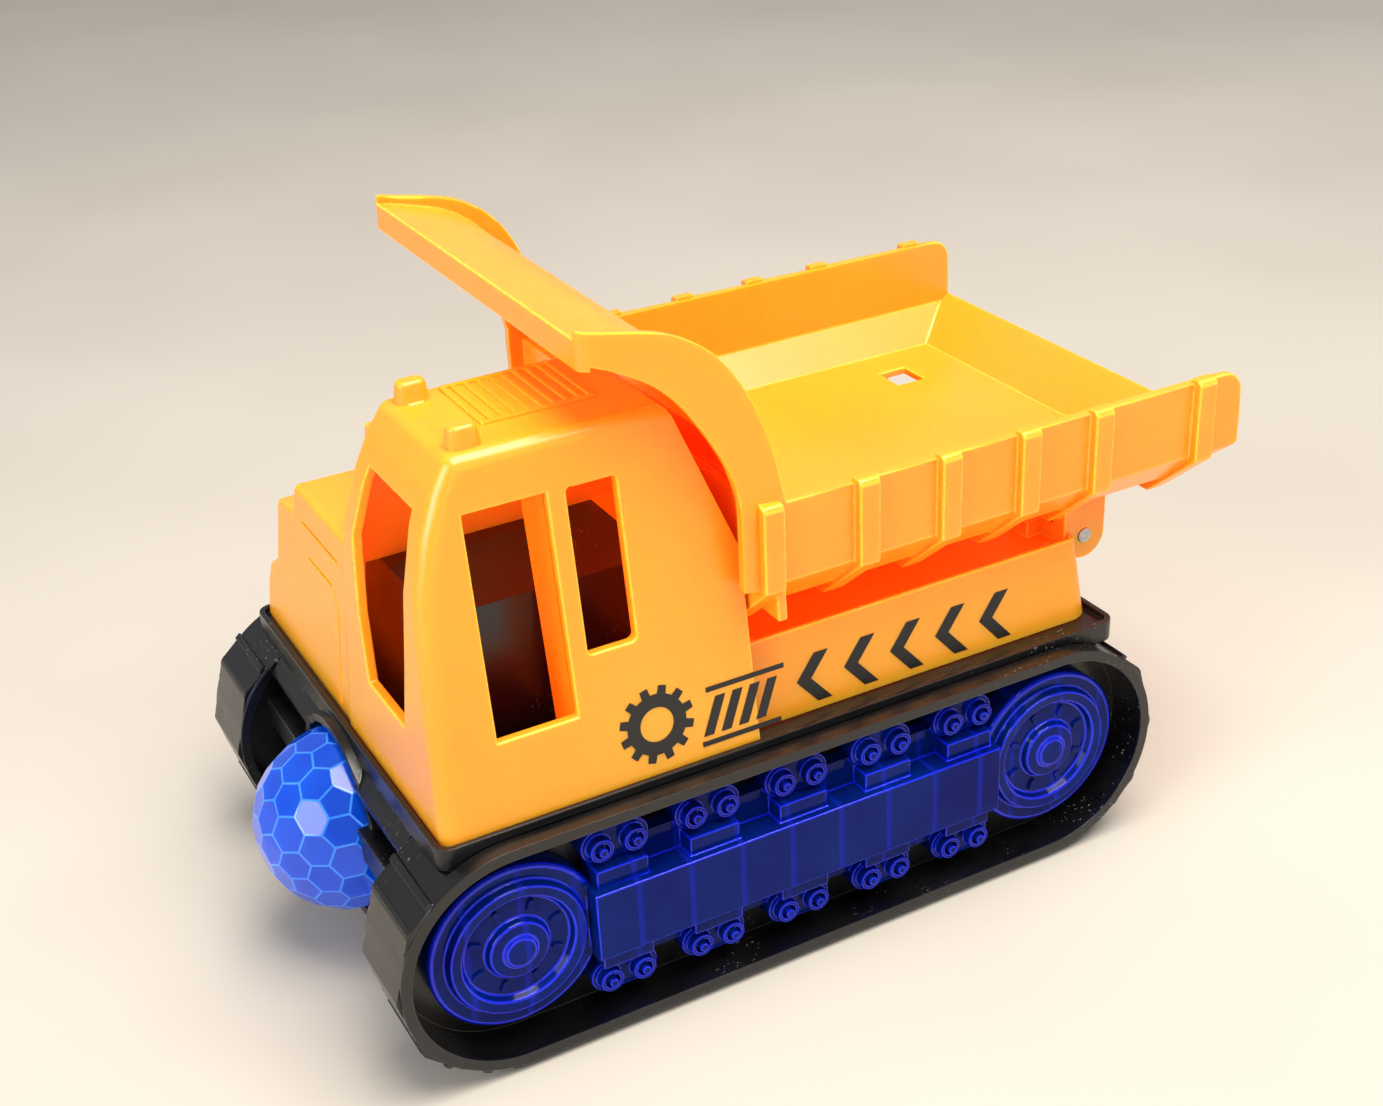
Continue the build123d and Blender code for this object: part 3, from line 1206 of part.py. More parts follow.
with BuildPart() as turntable_ring:
    with BuildSketch(Plane.XY.offset(base_top + retainer_height)):
        with Locations((drive_x, 0)):
            Circle(flange_radius + 3.6)
            Circle(flange_radius - 1.8, mode=Mode.SUBTRACT)
        with Locations(*retainer_screws):
            Circle(1.3, mode=Mode.SUBTRACT)
    extrude(amount=1.6)
save(turntable_ring, "turntable_ring")
ring_top = base_top + retainer_height + 1.6
screw_group([pan_screw(x, y, ring_top, 3.6, up=-1, head_radius=1.7) for x, y in retainer_screws],
            "turntable_ring_screws")

post_spots = [(drive_x - 11.0, 37.5), (drive_x + 17.0, 24.0)]
for face_y, name, motor_hole in ((plate_inner_y, "gearbox_plate_inner", 3.2),
                                 (plate_outer_y + plate_wall, "gearbox_plate_outer", shaft_radius + running)):
    with BuildPart() as plate:
        with BuildSketch(side_plane(face_y)):
            with Locations(shaft_1, shaft_2, motor_shaft, *post_spots):
                Circle(3.6)
            with Locations((drive_x, flange_top + 3.0)):
                Rectangle(16.0, 6.0)
            make_hull()
            with Locations(axle_shaft):
                Circle(axle_radius + running, mode=Mode.SUBTRACT)
            with Locations(shaft_1, shaft_2):
                Circle(shaft_radius + running, mode=Mode.SUBTRACT)
            with Locations(motor_shaft):
                Circle(motor_hole, mode=Mode.SUBTRACT)
            with Locations(*post_spots):
                Circle(screw_hole_radius, mode=Mode.SUBTRACT)
        extrude(amount=plate_wall)
    save(plate, name)

with BuildPart() as gearbox_posts:
    for spot in post_spots:
        with BuildSketch(side_plane(plate_outer_y)):
            with Locations(spot):
                Circle(2.2)
                Circle(screw_hole_radius, mode=Mode.SUBTRACT)
        extrude(amount=plate_outer_y - plate_inner_y)
save(gearbox_posts, "gearbox_posts")

motor_size = (15.4, 12.0, 20.0)
with BuildPart() as motor:
    with BuildSketch(side_plane(plate_inner_y - plate_wall)):
        with Locations(motor_shaft):
            Circle(motor_size[0] / 2)
            Rectangle(motor_size[0] + 2, motor_size[1], mode=Mode.INTERSECT)
    extrude(amount=motor_size[2])
    with BuildSketch(side_plane(plate_inner_y - plate_wall + 1.2)):
        with Locations(motor_shaft):
            Circle(3.0)
    extrude(amount=1.2)
    with BuildSketch(side_plane(plate_inner_y - plate_wall + 1.2)):
        with Locations(motor_shaft):
            Circle(shaft_radius + running)
    extrude(amount=6.0, mode=Mode.SUBTRACT)
save(motor, "motor")

motor_gear = gear(motor_shaft, small_teeth, gap_angle(mesh_angles[2], small_teeth), gear_layers[2])
with BuildPart() as motor_pinion:
    add(motor_gear)
    with BuildSketch(side_plane(plate_outer_y + plate_wall - 0.1)):
        with Locations(motor_shaft):
            Circle(shaft_radius)
    extrude(amount=plate_outer_y - plate_inner_y + 2 * plate_wall + 3.4)
save(motor_pinion, "motor_pinion")

second_wheel = gear(shaft_2, wheel_teeth, mesh_angles[2], gear_layers[2])
second_pinion = gear(shaft_2, small_teeth, gap_angle(mesh_angles[1], small_teeth), gear_layers[1])
with BuildPart() as reduction_gear_2:
    add(second_wheel)
    add(second_pinion)
    with BuildSketch(side_plane(plate_outer_y + plate_wall - 0.1)):
        with Locations(shaft_2):
            Circle(shaft_radius)
    extrude(amount=plate_outer_y - plate_inner_y + 2 * plate_wall - 0.2)
    with BuildSketch(side_plane(gear_layers[2] + 0.1)):
        with Locations(shaft_2):
            Circle(1.8)
    extrude(amount=gear_layers[2] - gear_layers[1] - gear_width + 0.2)
save(reduction_gear_2, "reduction_gear_2")

first_wheel = gear(shaft_1, wheel_teeth, mesh_angles[1], gear_layers[1])
first_pinion = gear(shaft_1, axle_pinion_teeth, gap_angle(mesh_angles[0], axle_pinion_teeth),
                    gear_layers[0])
with BuildPart() as reduction_gear_1:
    add(first_wheel)
    add(first_pinion)
    with BuildSketch(side_plane(plate_outer_y + plate_wall - 0.1)):
        with Locations(shaft_1):
            Circle(shaft_radius)
    extrude(amount=plate_outer_y - plate_inner_y + 2 * plate_wall - 0.2)
    with BuildSketch(side_plane(gear_layers[1] + 0.1)):
        with Locations(shaft_1):
            Circle(2.2)
    extrude(amount=gear_layers[1] - gear_layers[0] - gear_width + 0.2)
save(reduction_gear_1, "reduction_gear_1")

bored_wheel = gear(axle_shaft, wheel_teeth, mesh_angles[0], gear_layers[0], hole=axle_radius)
with BuildPart() as axle_gear:
    add(bored_wheel)
save(axle_gear, "axle_gear")

drive_axle_half = 18.8
with BuildPart() as drive_axle:
    with BuildSketch(side_plane(drive_axle_half)):
        with Locations(axle_shaft):
            Circle(axle_radius)
    extrude(amount=2 * drive_axle_half)
save(drive_axle, "drive_axle")

rear_axle_half = axle_cradle_y[1] + 1.2
with BuildPart() as rear_axle:
    with BuildSketch(side_plane(rear_axle_half)):
        with Locations((rear_roller_x, rear_roller_radius)):
            Circle(axle_radius)
    extrude(amount=2 * rear_axle_half)
save(rear_axle, "rear_axle")

tyre_wall = 2.4


def wheel_and_tyre(centre, middle_y, radius, width, name):
    """A spoked hub pressed on its axle and a soft tyre round it."""
    with BuildPart() as hub:
        with BuildSketch(side_plane(middle_y + width / 2)):
            with Locations(centre):
                Circle(radius - tyre_wall)
                Circle(axle_radius, mode=Mode.SUBTRACT)
        extrude(amount=width)
        # Dished on both faces, between the hub and the rim.
        for face, into in ((middle_y + width / 2, 1), (middle_y - width / 2, -1)):
            with BuildSketch(side_plane(face)):
                with Locations(centre):
                    Circle(radius - tyre_wall - 1.4)
                    Circle(axle_radius + 1.6, mode=Mode.SUBTRACT)
            extrude(amount=into * (width / 2 - 1.0), mode=Mode.SUBTRACT)
    save(hub, f"{name.replace('SIDE', 'wheel')}")
    with BuildPart() as tyre:
        with BuildSketch(Plane.XY.offset(centre[1])):
            with Locations((centre[0] + radius - tyre_wall / 2, middle_y)):
                RectangleRounded(tyre_wall, width, 0.8)
            with Locations((centre[0] + radius - tyre_wall + 0.4, middle_y)):
                Rectangle(0.8, width)
        revolve(axis=Axis((centre[0], 0, centre[1]), (0, 1, 0)))
    save(tyre, f"{name.replace('SIDE', 'tyre')}")


for side, hand in ((1, "left"), (-1, "right")):
    wheel_and_tyre(axle_shaft, side * 15.6, drive_wheel_radius, 6.0, f"drive_SIDE_{hand}")
    wheel_and_tyre((rear_roller_x, rear_roller_radius), side * roller_y, rear_roller_radius,
                   roller_width, f"rear_SIDE_{hand}")
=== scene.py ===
import json
from math import atan, cos, pi, radians, sin

import bmesh
import bpy
from mathutils import Matrix, Vector
from mathutils.bvhtree import BVHTree
from mathutils.geometry import area_tri, delaunay_2d_cdt, intersect_point_line


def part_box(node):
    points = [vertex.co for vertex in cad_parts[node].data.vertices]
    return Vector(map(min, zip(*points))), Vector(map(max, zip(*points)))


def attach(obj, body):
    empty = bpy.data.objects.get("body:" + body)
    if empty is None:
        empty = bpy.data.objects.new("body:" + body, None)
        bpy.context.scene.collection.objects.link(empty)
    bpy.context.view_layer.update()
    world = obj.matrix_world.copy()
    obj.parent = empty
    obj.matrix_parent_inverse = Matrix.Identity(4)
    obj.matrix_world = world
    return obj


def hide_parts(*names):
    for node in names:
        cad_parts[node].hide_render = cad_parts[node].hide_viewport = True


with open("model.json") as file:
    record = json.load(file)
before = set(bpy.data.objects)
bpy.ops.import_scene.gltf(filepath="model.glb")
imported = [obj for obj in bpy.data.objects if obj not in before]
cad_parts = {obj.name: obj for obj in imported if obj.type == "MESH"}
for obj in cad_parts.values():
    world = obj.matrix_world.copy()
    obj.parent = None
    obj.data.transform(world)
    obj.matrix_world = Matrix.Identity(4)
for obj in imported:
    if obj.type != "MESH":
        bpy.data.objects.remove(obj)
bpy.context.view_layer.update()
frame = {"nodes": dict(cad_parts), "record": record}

nodes = frame["nodes"]
mm = 0.001

# ---------------------------------------------------------------- yellow body mouldings
# The cab and hood shell, the low rear body and the tipping bed are injection moulded in one
# orange-yellow high-impact polystyrene, about 2 mm thick. Every outer edge has the small
# radius the tool leaves. The rounded edges get a lighter yellow as a painted highlight, and
# faces that look down or into the cab get a painted orange glow for the light the thin walls pass.


def to_linear(hex_colour):
    """Turn an sRGB hex colour into the linear values that shaders take."""
    channels = [int(hex_colour[i:i + 2], 16) / 255 for i in (1, 3, 5)]
    return [c / 12.92 if c <= 0.04045 else ((c + 0.055) / 1.055) ** 2.4 for c in channels] + [1.0]


def add_node(material, kind, settings=None, **inputs):
    """Add one shader node with its settings; an input is a value or another node's output."""
    made = material.node_tree.nodes.new("ShaderNode" + kind)
    for name, value in (settings or {}).items():
        setattr(made, name, value)
    for name, value in inputs.items():
        place = int(name[1:]) if name[1:].isdigit() else name.replace("_", " ")
        if isinstance(value, bpy.types.NodeSocket):
            material.node_tree.links.new(value, made.inputs[place])
        else:
            made.inputs[place].default_value = value
    return made


def new_material(name):
    """An empty node material with its output, and the object's own coordinates in metres."""
    material = bpy.data.materials.new(name)
    material.use_nodes = True
    material.node_tree.nodes.clear()
    return material, add_node(material, "TexCoord").outputs["Object"]


def finish_material(material, shader):
    """Join a shader to the material's output."""
    add_node(material, "OutputMaterial", Surface=shader)
    return material


def colour_between(material, factor, first, second, low=0.3, high=0.7):
    """A colour that goes from one hex colour to another as the factor rises."""
    ramp = add_node(material, "ValToRGB", Fac=factor)
    for element, place, colour in zip(ramp.color_ramp.elements, (low, high), (first, second)):
        element.position = place
        element.color = to_linear(colour)
    return ramp.outputs["Color"]


def noise(material, where, size, detail):
    """A noise pattern whose largest marks have this real size."""
    return add_node(material, "TexNoise", Vector=where, Scale=1 / size, Detail=detail).outputs["Fac"]


def span(material, factor, low, high):
    """A number between low and high that follows a factor from 0.3 to 0.7."""
    ranged = add_node(material, "MapRange", Value=factor, From_Min=0.3, From_Max=0.7,
                      To_Min=low, To_Max=high)
    return ranged.outputs["Result"]


def moulded_polystyrene(name, dark, light, roughness, painted_glow_strength=0.0):
    """High-impact polystyrene, moulded: glossy and waxy, with faint rubs. A face on the shaded
    side of a thin wall can also get a painted orange glow, standing for the light that the wall passes."""
    material, where = new_material(name)
    flow = noise(material, where, 38 * mm, 2.0)
    rub_length, rub_width = 14 * mm, 2 * mm
    stretched = add_node(material, "Mapping", Vector=where, Rotation=(0.3, 0.5, 0.4),
                         Scale=(1 / rub_length, 1 / rub_width, 1 / rub_width)).outputs["Vector"]
    rubs = noise(material, stretched, 1.0, 2.0)
    # The skin's ripple is 1.6 mm between crests.
    ripple = noise(material, where, 1.6 * mm, 1.0)
    skin = add_node(material, "Bump", Strength=0.05, Distance=0.1 * mm, Height=ripple).outputs["Normal"]
    # The emission is a painted orange glow on shaded faces; no lamp is inside.
    shader = add_node(material, "BsdfPrincipled", Base_Color=colour_between(material, flow, dark, light),
                      Roughness=span(material, rubs, roughness - 0.02, roughness + 0.04), Normal=skin,
                      IOR=1.59, Subsurface_Weight=0.8, Subsurface_Radius=(1.0, 0.36, 0.06),
                      Subsurface_Scale=6 * mm, Emission_Color=to_linear("#FF5200"),
                      Emission_Strength=painted_glow_strength)
    return finish_material(material, shader.outputs["BSDF"])


yellow_wall = moulded_polystyrene("polystyrene_moulded_yellow", "#FF9C1A", "#FFA326", 0.3)
# The edge finish is a lighter yellow: a painted highlight on the rounded edges.
yellow_edge_painted_highlight = moulded_polystyrene("polystyrene_moulded_yellow_painted_edge_highlight", "#FFB430", "#FFBE3E", 0.26)
# The inside finish adds a painted orange glow on faces in shade.
yellow_painted_inner_glow = moulded_polystyrene("polystyrene_moulded_yellow_painted_glow_inner", "#FF9C1A", "#FFA326",
                                    0.3, painted_glow_strength=0.7)


def new_object(name, shape, materials):
    """Make a finished shape an object of the scene, with its finishes."""
    mesh = bpy.data.meshes.new(name)
    shape.to_mesh(mesh)
    shape.free()
    for material in materials:
        mesh.materials.append(material)
    made = bpy.data.objects.new(name, mesh)
    bpy.context.scene.collection.objects.link(made)
    return made


def place_piece(name, shape, body, materials):
    """Make a finished shape a piece of the truck: it rides on a body and fills one slot."""
    piece = new_object(name, shape, materials)
    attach(piece, body)
    return piece


def free_width(edge):
    """How far this edge can be rounded before it meets another one: its shortest side edge."""
    along = (edge.verts[1].co - edge.verts[0].co).normalized()
    widths = [other.calc_length() for corner in edge.verts for other in corner.link_edges
              if other is not edge
              and abs(along.dot((other.verts[1].co - other.verts[0].co).normalized())) < 0.9]
    return min(widths, default=0.0)


def rounded(shape, sharp, radius):
    """A copy of a moulding with the edges of these numbers rounded."""
    made = shape.copy()
    made.edges.ensure_lookup_table()
    # The rounded faces take the second finish; on the yellow and blue mouldings that is a painted edge
    # highlight.
    bmesh.ops.bevel(made, geom=[made.edges[number] for number in sharp], offset=radius,
                    offset_type="OFFSET", segments=2, profile=0.5, affect="EDGES",
                    clamp_overlap=False, material=1, loop_slide=True)
    return made


def stray_points(made, walls, radius):
    """Places where a rounded copy leaves the moulding's walls or folds over itself."""
    strays = [corner.co.copy() for corner in made.verts
              if walls.find_nearest(corner.co)[3] > 0.6 * radius]
    for face in made.faces:
        middle = face.calc_center_median()
        if len(face.verts) < 5 and walls.find_nearest(middle)[1].dot(face.normal) < 0.2:
            strays.append(middle)
    return strays


def distance_to(edge, place):
    """How far a place is from an edge."""
    share = intersect_point_line(place, edge.verts[0].co, edge.verts[1].co)[1]
    share = min(1.0, max(0.0, share))
    return (edge.verts[0].co.lerp(edge.verts[1].co, share) - place).length


def lies_inside(point, outline):
    """Whether a flat point lies inside an outline, whose joins to its windows count twice."""
    crossed = 0
    for start, end in zip(outline, outline[1:] + outline[:1]):
        if (start.y > point.y) != (end.y > point.y):
            share = (point.y - start.y) / (end.y - start.y)
            crossed += point.x < start.x + share * (end.x - start.x)
    return crossed % 2 == 1


def keep_windows_open(made):
    """Divide a flat wall into triangles where its one long outline would close a window."""
    filled = {}
    for loops in made.calc_loop_triangles():
        area = area_tri(*[loop.vert.co for loop in loops])
        filled[loops[0].face] = filled.get(loops[0].face, 0.0) + area
    smallest_window = 1.0 * mm * mm
    closed = [face for face, area in filled.items() if area > face.calc_area() + smallest_window]
    for face in closed:
        flatten = face.normal.rotation_difference(Vector((0, 0, 1))).to_matrix()
        corners = [loop.vert for loop in face.loops]
        outline = [(flatten @ corner.co).xy / mm for corner in corners]
        sides = [(count, (count + 1) % len(outline)) for count in range(len(outline))]
        points, _, pieces, _, _, _ = delaunay_2d_cdt(outline, sides, [], 0, 1e-5)
        own = [min(sides, key=lambda side: (outline[side[0]] - point).length)[0] for point in points]
        for piece in pieces:
            ring = [corners[own[number]] for number in piece]
            middle = sum((points[number] for number in piece), Vector((0, 0))) / 3
            if len(set(ring)) == 3 and lies_inside(middle, outline):
                part = made.faces.new(ring)
                part.smooth = True
                part.material_index = face.material_index
    bmesh.ops.delete(made, geom=closed, context="FACES_ONLY")
    made.normal_update()


def mark_shaded_faces(made, closed):
    """Give the third finish, a painted orange glow, to faces that look down, or at the inside of a closed
    moulding.
    """
    own_walls = BVHTree.FromBMesh(made)
    for face in made.faces:
        start = face.calc_center_median() + 0.05 * mm * face.normal
        looks_in = closed and own_walls.ray_cast(start, face.normal, 120 * mm)[0] is not None
        if face.normal.z < -0.3 or looks_in:
            face.material_index = 2


crease = radians(28.0)              # a flatter bend is one smooth wall
hard_edge = radians(40.0)           # a flatter bend is shaded smooth once it is rounded


def moulded_copy(node, body, materials, radius):
    """A moulding's real shape with the tool's radius on its edges, in place of a bare node."""
    shape = bmesh.new()
    shape.from_mesh(nodes[node].data)
    bmesh.ops.remove_doubles(shape, verts=shape.verts, dist=0.002 * mm)
    bmesh.ops.dissolve_limit(shape, angle_limit=radians(0.6), verts=shape.verts, edges=shape.edges)
    shape.edges.index_update()
    shape.edges.ensure_lookup_table()
    for face in shape.faces:
        face.smooth = True
        face.material_index = 0
    walls = BVHTree.FromBMesh(shape)
    sharp = [edge.index for edge in shape.edges if len(edge.link_faces) == 2
             and edge.calc_face_angle(0.0) > crease and free_width(edge) > 2.1 * radius]
    # An edge whose rounding would cross a neighbour stays sharp.
    made = rounded(shape, sharp, radius)
    for attempt in range(4):
        strays = stray_points(made, walls, radius)
        if not strays:
            break
        made.free()
        sharp = [number for number in sharp
                 if all(distance_to(shape.edges[number], place) > 2.0 * radius for place in strays)]
        made = rounded(shape, sharp, radius)
    shape.free()
    keep_windows_open(made)
    for edge in made.edges:
        edge.smooth = len(edge.link_faces) != 2 or edge.calc_face_angle(0.0) < hard_edge
    if len(materials) > 2:
        mark_shaded_faces(made, closed=node == "cab_shell")
    piece = place_piece(f"{node}_moulding", made, body, materials)
    normals = piece.modifiers.new("flat walls", "WEIGHTED_NORMAL")
    normals.keep_sharp = True
    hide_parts(node)


for node, body in (("cab_shell", "truck"), ("rear_body", "truck"), ("bed", "bed")):
    moulded_copy(node, body, (yellow_wall, yellow_edge_painted_highlight, yellow_painted_inner_glow), 0.38 * mm)

# ---------------------------------------------------------------- black mouldings
# The chassis, the two dummy tracks and everything below them are black ABS with a satin tool
# finish. Handling leaves pale specks and hair scratches on the rims.


def moulded_abs(name, dark, light, roughness):
    """Black ABS, moulded: satin, slightly grey where it has been rubbed, with pale specks."""
    material, where = new_material(name)
    broad = noise(material, where, 22 * mm, 4.0)
    base = colour_between(material, broad, dark, light)
    # Specks are about 0.4 mm across and sit in clusters some 15 mm apart.
    specks = noise(material, where, 0.7 * mm, 2.0)
    clusters = noise(material, where, 15 * mm, 1.0)
    spots = add_node(material, "MapRange", Value=specks, From_Min=0.66, From_Max=0.72).outputs["Result"]
    groups = add_node(material, "MapRange", Value=clusters, From_Min=0.55, From_Max=0.65).outputs["Result"]
    worn = add_node(material, "Math", {"operation": "MULTIPLY"}, _0=spots, _1=groups).outputs["Value"]
    mixed = add_node(material, "Mix", {"data_type": "RGBA"}, _0=worn, _6=base, _7=to_linear("#77746F"))
    grain = noise(material, where, 0.5 * mm, 2.0)
    skin = add_node(material, "Bump", Strength=0.12, Distance=0.05 * mm, Height=grain).outputs["Normal"]
    shader = add_node(material, "BsdfPrincipled", Base_Color=mixed.outputs[2], IOR=1.54, Normal=skin,
                      Roughness=span(material, broad, roughness - 0.06, roughness + 0.08))
    return finish_material(material, shader.outputs["BSDF"])


black_wall = moulded_abs("abs_moulded_black", "#050506", "#0B0B0C", 0.27)
black_edge = moulded_abs("abs_moulded_black_edge", "#0E0E10", "#19191B", 0.22)
for node in ("chassis", "track_left", "track_right", "base_cover", "battery_door"):
    moulded_copy(node, "truck", (black_wall, black_edge), 0.28 * mm)
moulded_copy("turntable", "drive_unit", (black_wall, black_edge), 0.2 * mm)

# ---------------------------------------------------------------- blue light inserts
# Each track holds one moulding of clear polystyrene dyed deep blue. Flat walls look navy over
# the black web behind them. A faint painted glow on the walls and a brighter painted glow on the
# rounded edges stand for light that runs inside the plastic and leaves at its edges.


def clear_polystyrene(name, dark, light, glow, clearness, gloss, rib_pitch=0.0):
    """Clear dyed polystyrene, moulded: smooth and glassy, with faint ribs behind the face and a painted
    glow.
    """
    material, where = new_material(name)
    depth = noise(material, where, 16 * mm, 2.0)
    base = colour_between(material, depth, dark, light)
    if rib_pitch:
        along = add_node(material, "SeparateXYZ", Vector=where).outputs["X"]
        turns = add_node(material, "Math", {"operation": "MULTIPLY"},
                         _0=along, _1=1 / rib_pitch).outputs["Value"]
        part = add_node(material, "Math", {"operation": "FRACT"}, _0=turns).outputs["Value"]
        rib = add_node(material, "MapRange", Value=part, From_Min=0.86, From_Max=0.93, To_Max=0.35)
        base = add_node(material, "Mix", {"data_type": "RGBA"}, _0=rib.outputs["Result"], _6=base,
                        _7=to_linear("#1226C8")).outputs[2]
    ripple = noise(material, where, 3 * mm, 1.0)
    skin = add_node(material, "Bump", Strength=0.06, Distance=0.1 * mm, Height=ripple).outputs["Normal"]
    # The emission is a painted glow in the lighter colour; no lamp is behind it.
    shader = add_node(material, "BsdfPrincipled", Base_Color=base, Roughness=0.09, IOR=1.59, Normal=skin,
                      Specular_IOR_Level=gloss, Transmission_Weight=clearness,
                      Emission_Color=to_linear(light), Emission_Strength=glow)
    return finish_material(material, shader.outputs["BSDF"])


# Both finishes carry a painted glow; the edge finish is a brighter blue painted highlight on the rounded
# edges.
blue_wall = clear_polystyrene("polystyrene_clear_blue", "#020E5C", "#04206C", 0.02, 0.1, 0.04,
                              rib_pitch=11 * mm)
blue_painted_edge_glow = clear_polystyrene("polystyrene_clear_blue_painted_edge_glow", "#0414C0", "#0824DC", 0.05, 0.1, 0.3)
for node in ("light_insert_left", "light_insert_right"):
    moulded_copy(node, "truck", (blue_wall, blue_painted_edge_glow), 0.3 * mm)

# ---------------------------------------------------------------- faceted nose lens
# The lens is a thin dome of the same clear plastic in a lighter blue. Its outer face is cut into
# six-sided facets about 6 mm across that scatter the lamp's light. A flange holds it in the nose.
lens_low, lens_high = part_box("dome_lens")
lens_radius = 19.35 * mm
lens_wall = 1.5 * mm
lens_centre = Vector((lens_high.x - lens_radius, 0.0, 28.4 * mm))
facet_turn = radians(17)            # turns the pattern about the truck's length
facet_line = 0.22 * mm              # width of the soft line between two facets
flange_wall = 1.2 * mm
lens = bmesh.new()
bmesh.ops.create_icosphere(lens, subdivisions=2, radius=lens_radius)
bmesh.ops.bevel(lens, geom=lens.verts[:], offset=33.3, offset_type="PERCENT", segments=1, profile=0.5,
                affect="VERTICES", material=-1)
bmesh.ops.rotate(lens, verts=lens.verts, cent=(0, 0, 0), matrix=Matrix.Rotation(facet_turn, 3, "X"))
# The lines between facets take the second finish, a lighter blue painted highlight.
bmesh.ops.bevel(lens, geom=lens.edges[:], offset=facet_line, segments=1, profile=0.5,
                affect="EDGES", material=1)
bmesh.ops.bisect_plane(lens, geom=lens.verts[:] + lens.edges[:] + lens.faces[:], plane_co=(0, 0, 0),
                       plane_no=(1, 0, 0), clear_inner=True)
for back in (lens_low.x - lens_centre.x + flange_wall, -flange_wall):
    rim = [e for e in lens.edges if e.is_boundary]
    made = bmesh.ops.extrude_edge_only(lens, edges=rim)["geom"]
    moved = [v for v in made if isinstance(v, bmesh.types.BMVert)]
    bmesh.ops.translate(lens, verts=moved, vec=(back, 0, 0))
bmesh.ops.recalc_face_normals(lens, faces=lens.faces)
bmesh.ops.translate(lens, verts=lens.verts, vec=lens_centre)
# Both lens finishes carry a painted glow for light let through the dome; the facet lines are a lighter
# painted highlight.
lens_wall_blue = clear_polystyrene("polystyrene_clear_light_blue", "#0450D8", "#0C6CF8",
                                   0.10, 0.6, 0.3)
lens_facet_highlight_blue = clear_polystyrene("polystyrene_clear_light_blue_painted_facet_highlight", "#2C88FF", "#52A6FF",
                                   0.12, 0.4, 0.5)
lens_piece = place_piece("dome_lens_facets", lens, "truck",
                         (lens_wall_blue, lens_facet_highlight_blue))
thickness = lens_piece.modifiers.new("lens wall", "SOLIDIFY")
thickness.thickness = lens_wall
thickness.offset = -1.0
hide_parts("dome_lens")

# ---------------------------------------------------------------- printed marks
# Five chevrons on each side of the rear body and a plain gear and hazard panel on the cab door
# are pad printed in black ink, a few hundredths of a millimetre thick.
ink, ink_where = new_material("pad_printed_black_ink")
ink_grain = noise(ink, ink_where, 0.8 * mm, 2.0)
finish_material(ink, add_node(ink, "BsdfPrincipled", IOR=1.5,
                              Base_Color=colour_between(ink, ink_grain, "#0C0B0A", "#191716"),
                              Roughness=span(ink, ink_grain, 0.34, 0.46)).outputs["BSDF"])
ink_thickness = 0.08 * mm
ink_gap = 0.02 * mm                 # keeps a print just clear of its wall
drawing_foot = 50 * mm              # height of a drawing's zero line above the ground


def printed_outline(bm, points):
    """One flat shape of ink, drawn in a plane and given its thickness."""
    ring = [bm.verts.new((x * mm, z * mm, 0)) for x, z in points]
    face = bm.faces.new(ring)
    raised = bmesh.ops.extrude_face_region(bm, geom=[face])["geom"]
    bmesh.ops.translate(bm, verts=[v for v in raised if isinstance(v, bmesh.types.BMVert)],
                        vec=(0, 0, ink_thickness))


def wall_place(side, foot_y, lean):
    """The matrix that lays a drawing on a side wall that leans in above the deck."""
    stand = Matrix.Rotation(pi / 2, 4, "X")
    if side > 0:
        stand = stand @ Matrix.Scale(-1, 4, (0, 0, 1))
    tilt = Matrix.Rotation(side * lean, 4, "X")
    return Matrix.Translation((0, side * (foot_y + ink_gap), drawing_foot)) @ tilt @ stand


def print_on_wall(name, drawing, side, foot_y, lean):
    """Finish a printed drawing: lay it on its wall and make it a piece of the truck."""
    bmesh.ops.transform(drawing, matrix=wall_place(side, foot_y, lean), verts=drawing.verts)
    bmesh.ops.recalc_face_normals(drawing, faces=drawing.faces)
    place_piece(name, drawing, "truck", (ink,))


chevron = [(0, 5), (-4.3, 10), (-7.5, 10), (-3.2, 5), (-7.5, 0), (-4.3, 0)]
chevron_pitch = 10.65
chevron_front = 2.7
chevron_foot = 1.8
rear_wall_lean = atan(2.6 / 17.5)
door_lean = atan(9.0 / 68.5)
for side, hand in ((1, "left"), (-1, "right")):
    marks = bmesh.new()
    for count in range(5):
        chevron_tip = chevron_front - chevron_pitch * count
        printed_outline(marks, [(chevron_tip + x, chevron_foot + z) for x, z in chevron])
    print_on_wall(f"chevron_print_{hand}", marks, side, 46.6 * mm, rear_wall_lean)

badge = bmesh.new()
gear_middle = (34.5, 10.6)
gear_steps = 12
root, tip, bore = 6.0, 7.6, 3.4     # radii of the drawn gear
gear_ring = []
for step in range(gear_steps):
    for part, radius in ((0.0, root), (0.22, root), (0.30, tip), (0.70, tip), (0.78, root)):
        angle = 2 * pi * (step + part) / gear_steps
        gear_ring.append((radius * cos(angle), radius * sin(angle)))
bore_ring = [(bore * cos(2 * pi * s / 36), bore * sin(2 * pi * s / 36)) for s in range(37)]
half = len(gear_ring) // 2
# The gear is drawn as two halves, so that its bore stays open.
for ring in (gear_ring[:half + 1] + bore_ring[18::-1], gear_ring[half:] + gear_ring[:1] + bore_ring[:17:-1]):
    printed_outline(badge, [(gear_middle[0] + x, gear_middle[1] + z) for x, z in ring])
for count in range(4):
    foot = 25.4 - 3.7 * count
    printed_outline(badge, [(foot - 3.2, 12.4), (foot - 5.3, 12.4), (foot - 2.1, 5.0), (foot, 5.0)])
printed_outline(badge, [(25.8, 3.0), (25.8, 4.0), (9.0, 4.0), (9.0, 3.0)])
printed_outline(badge, [(24.0, 13.6), (24.0, 14.6), (7.4, 14.6), (7.4, 13.6)])
print_on_wall("door_badge_print", badge, 1, 50.6 * mm, door_lean)

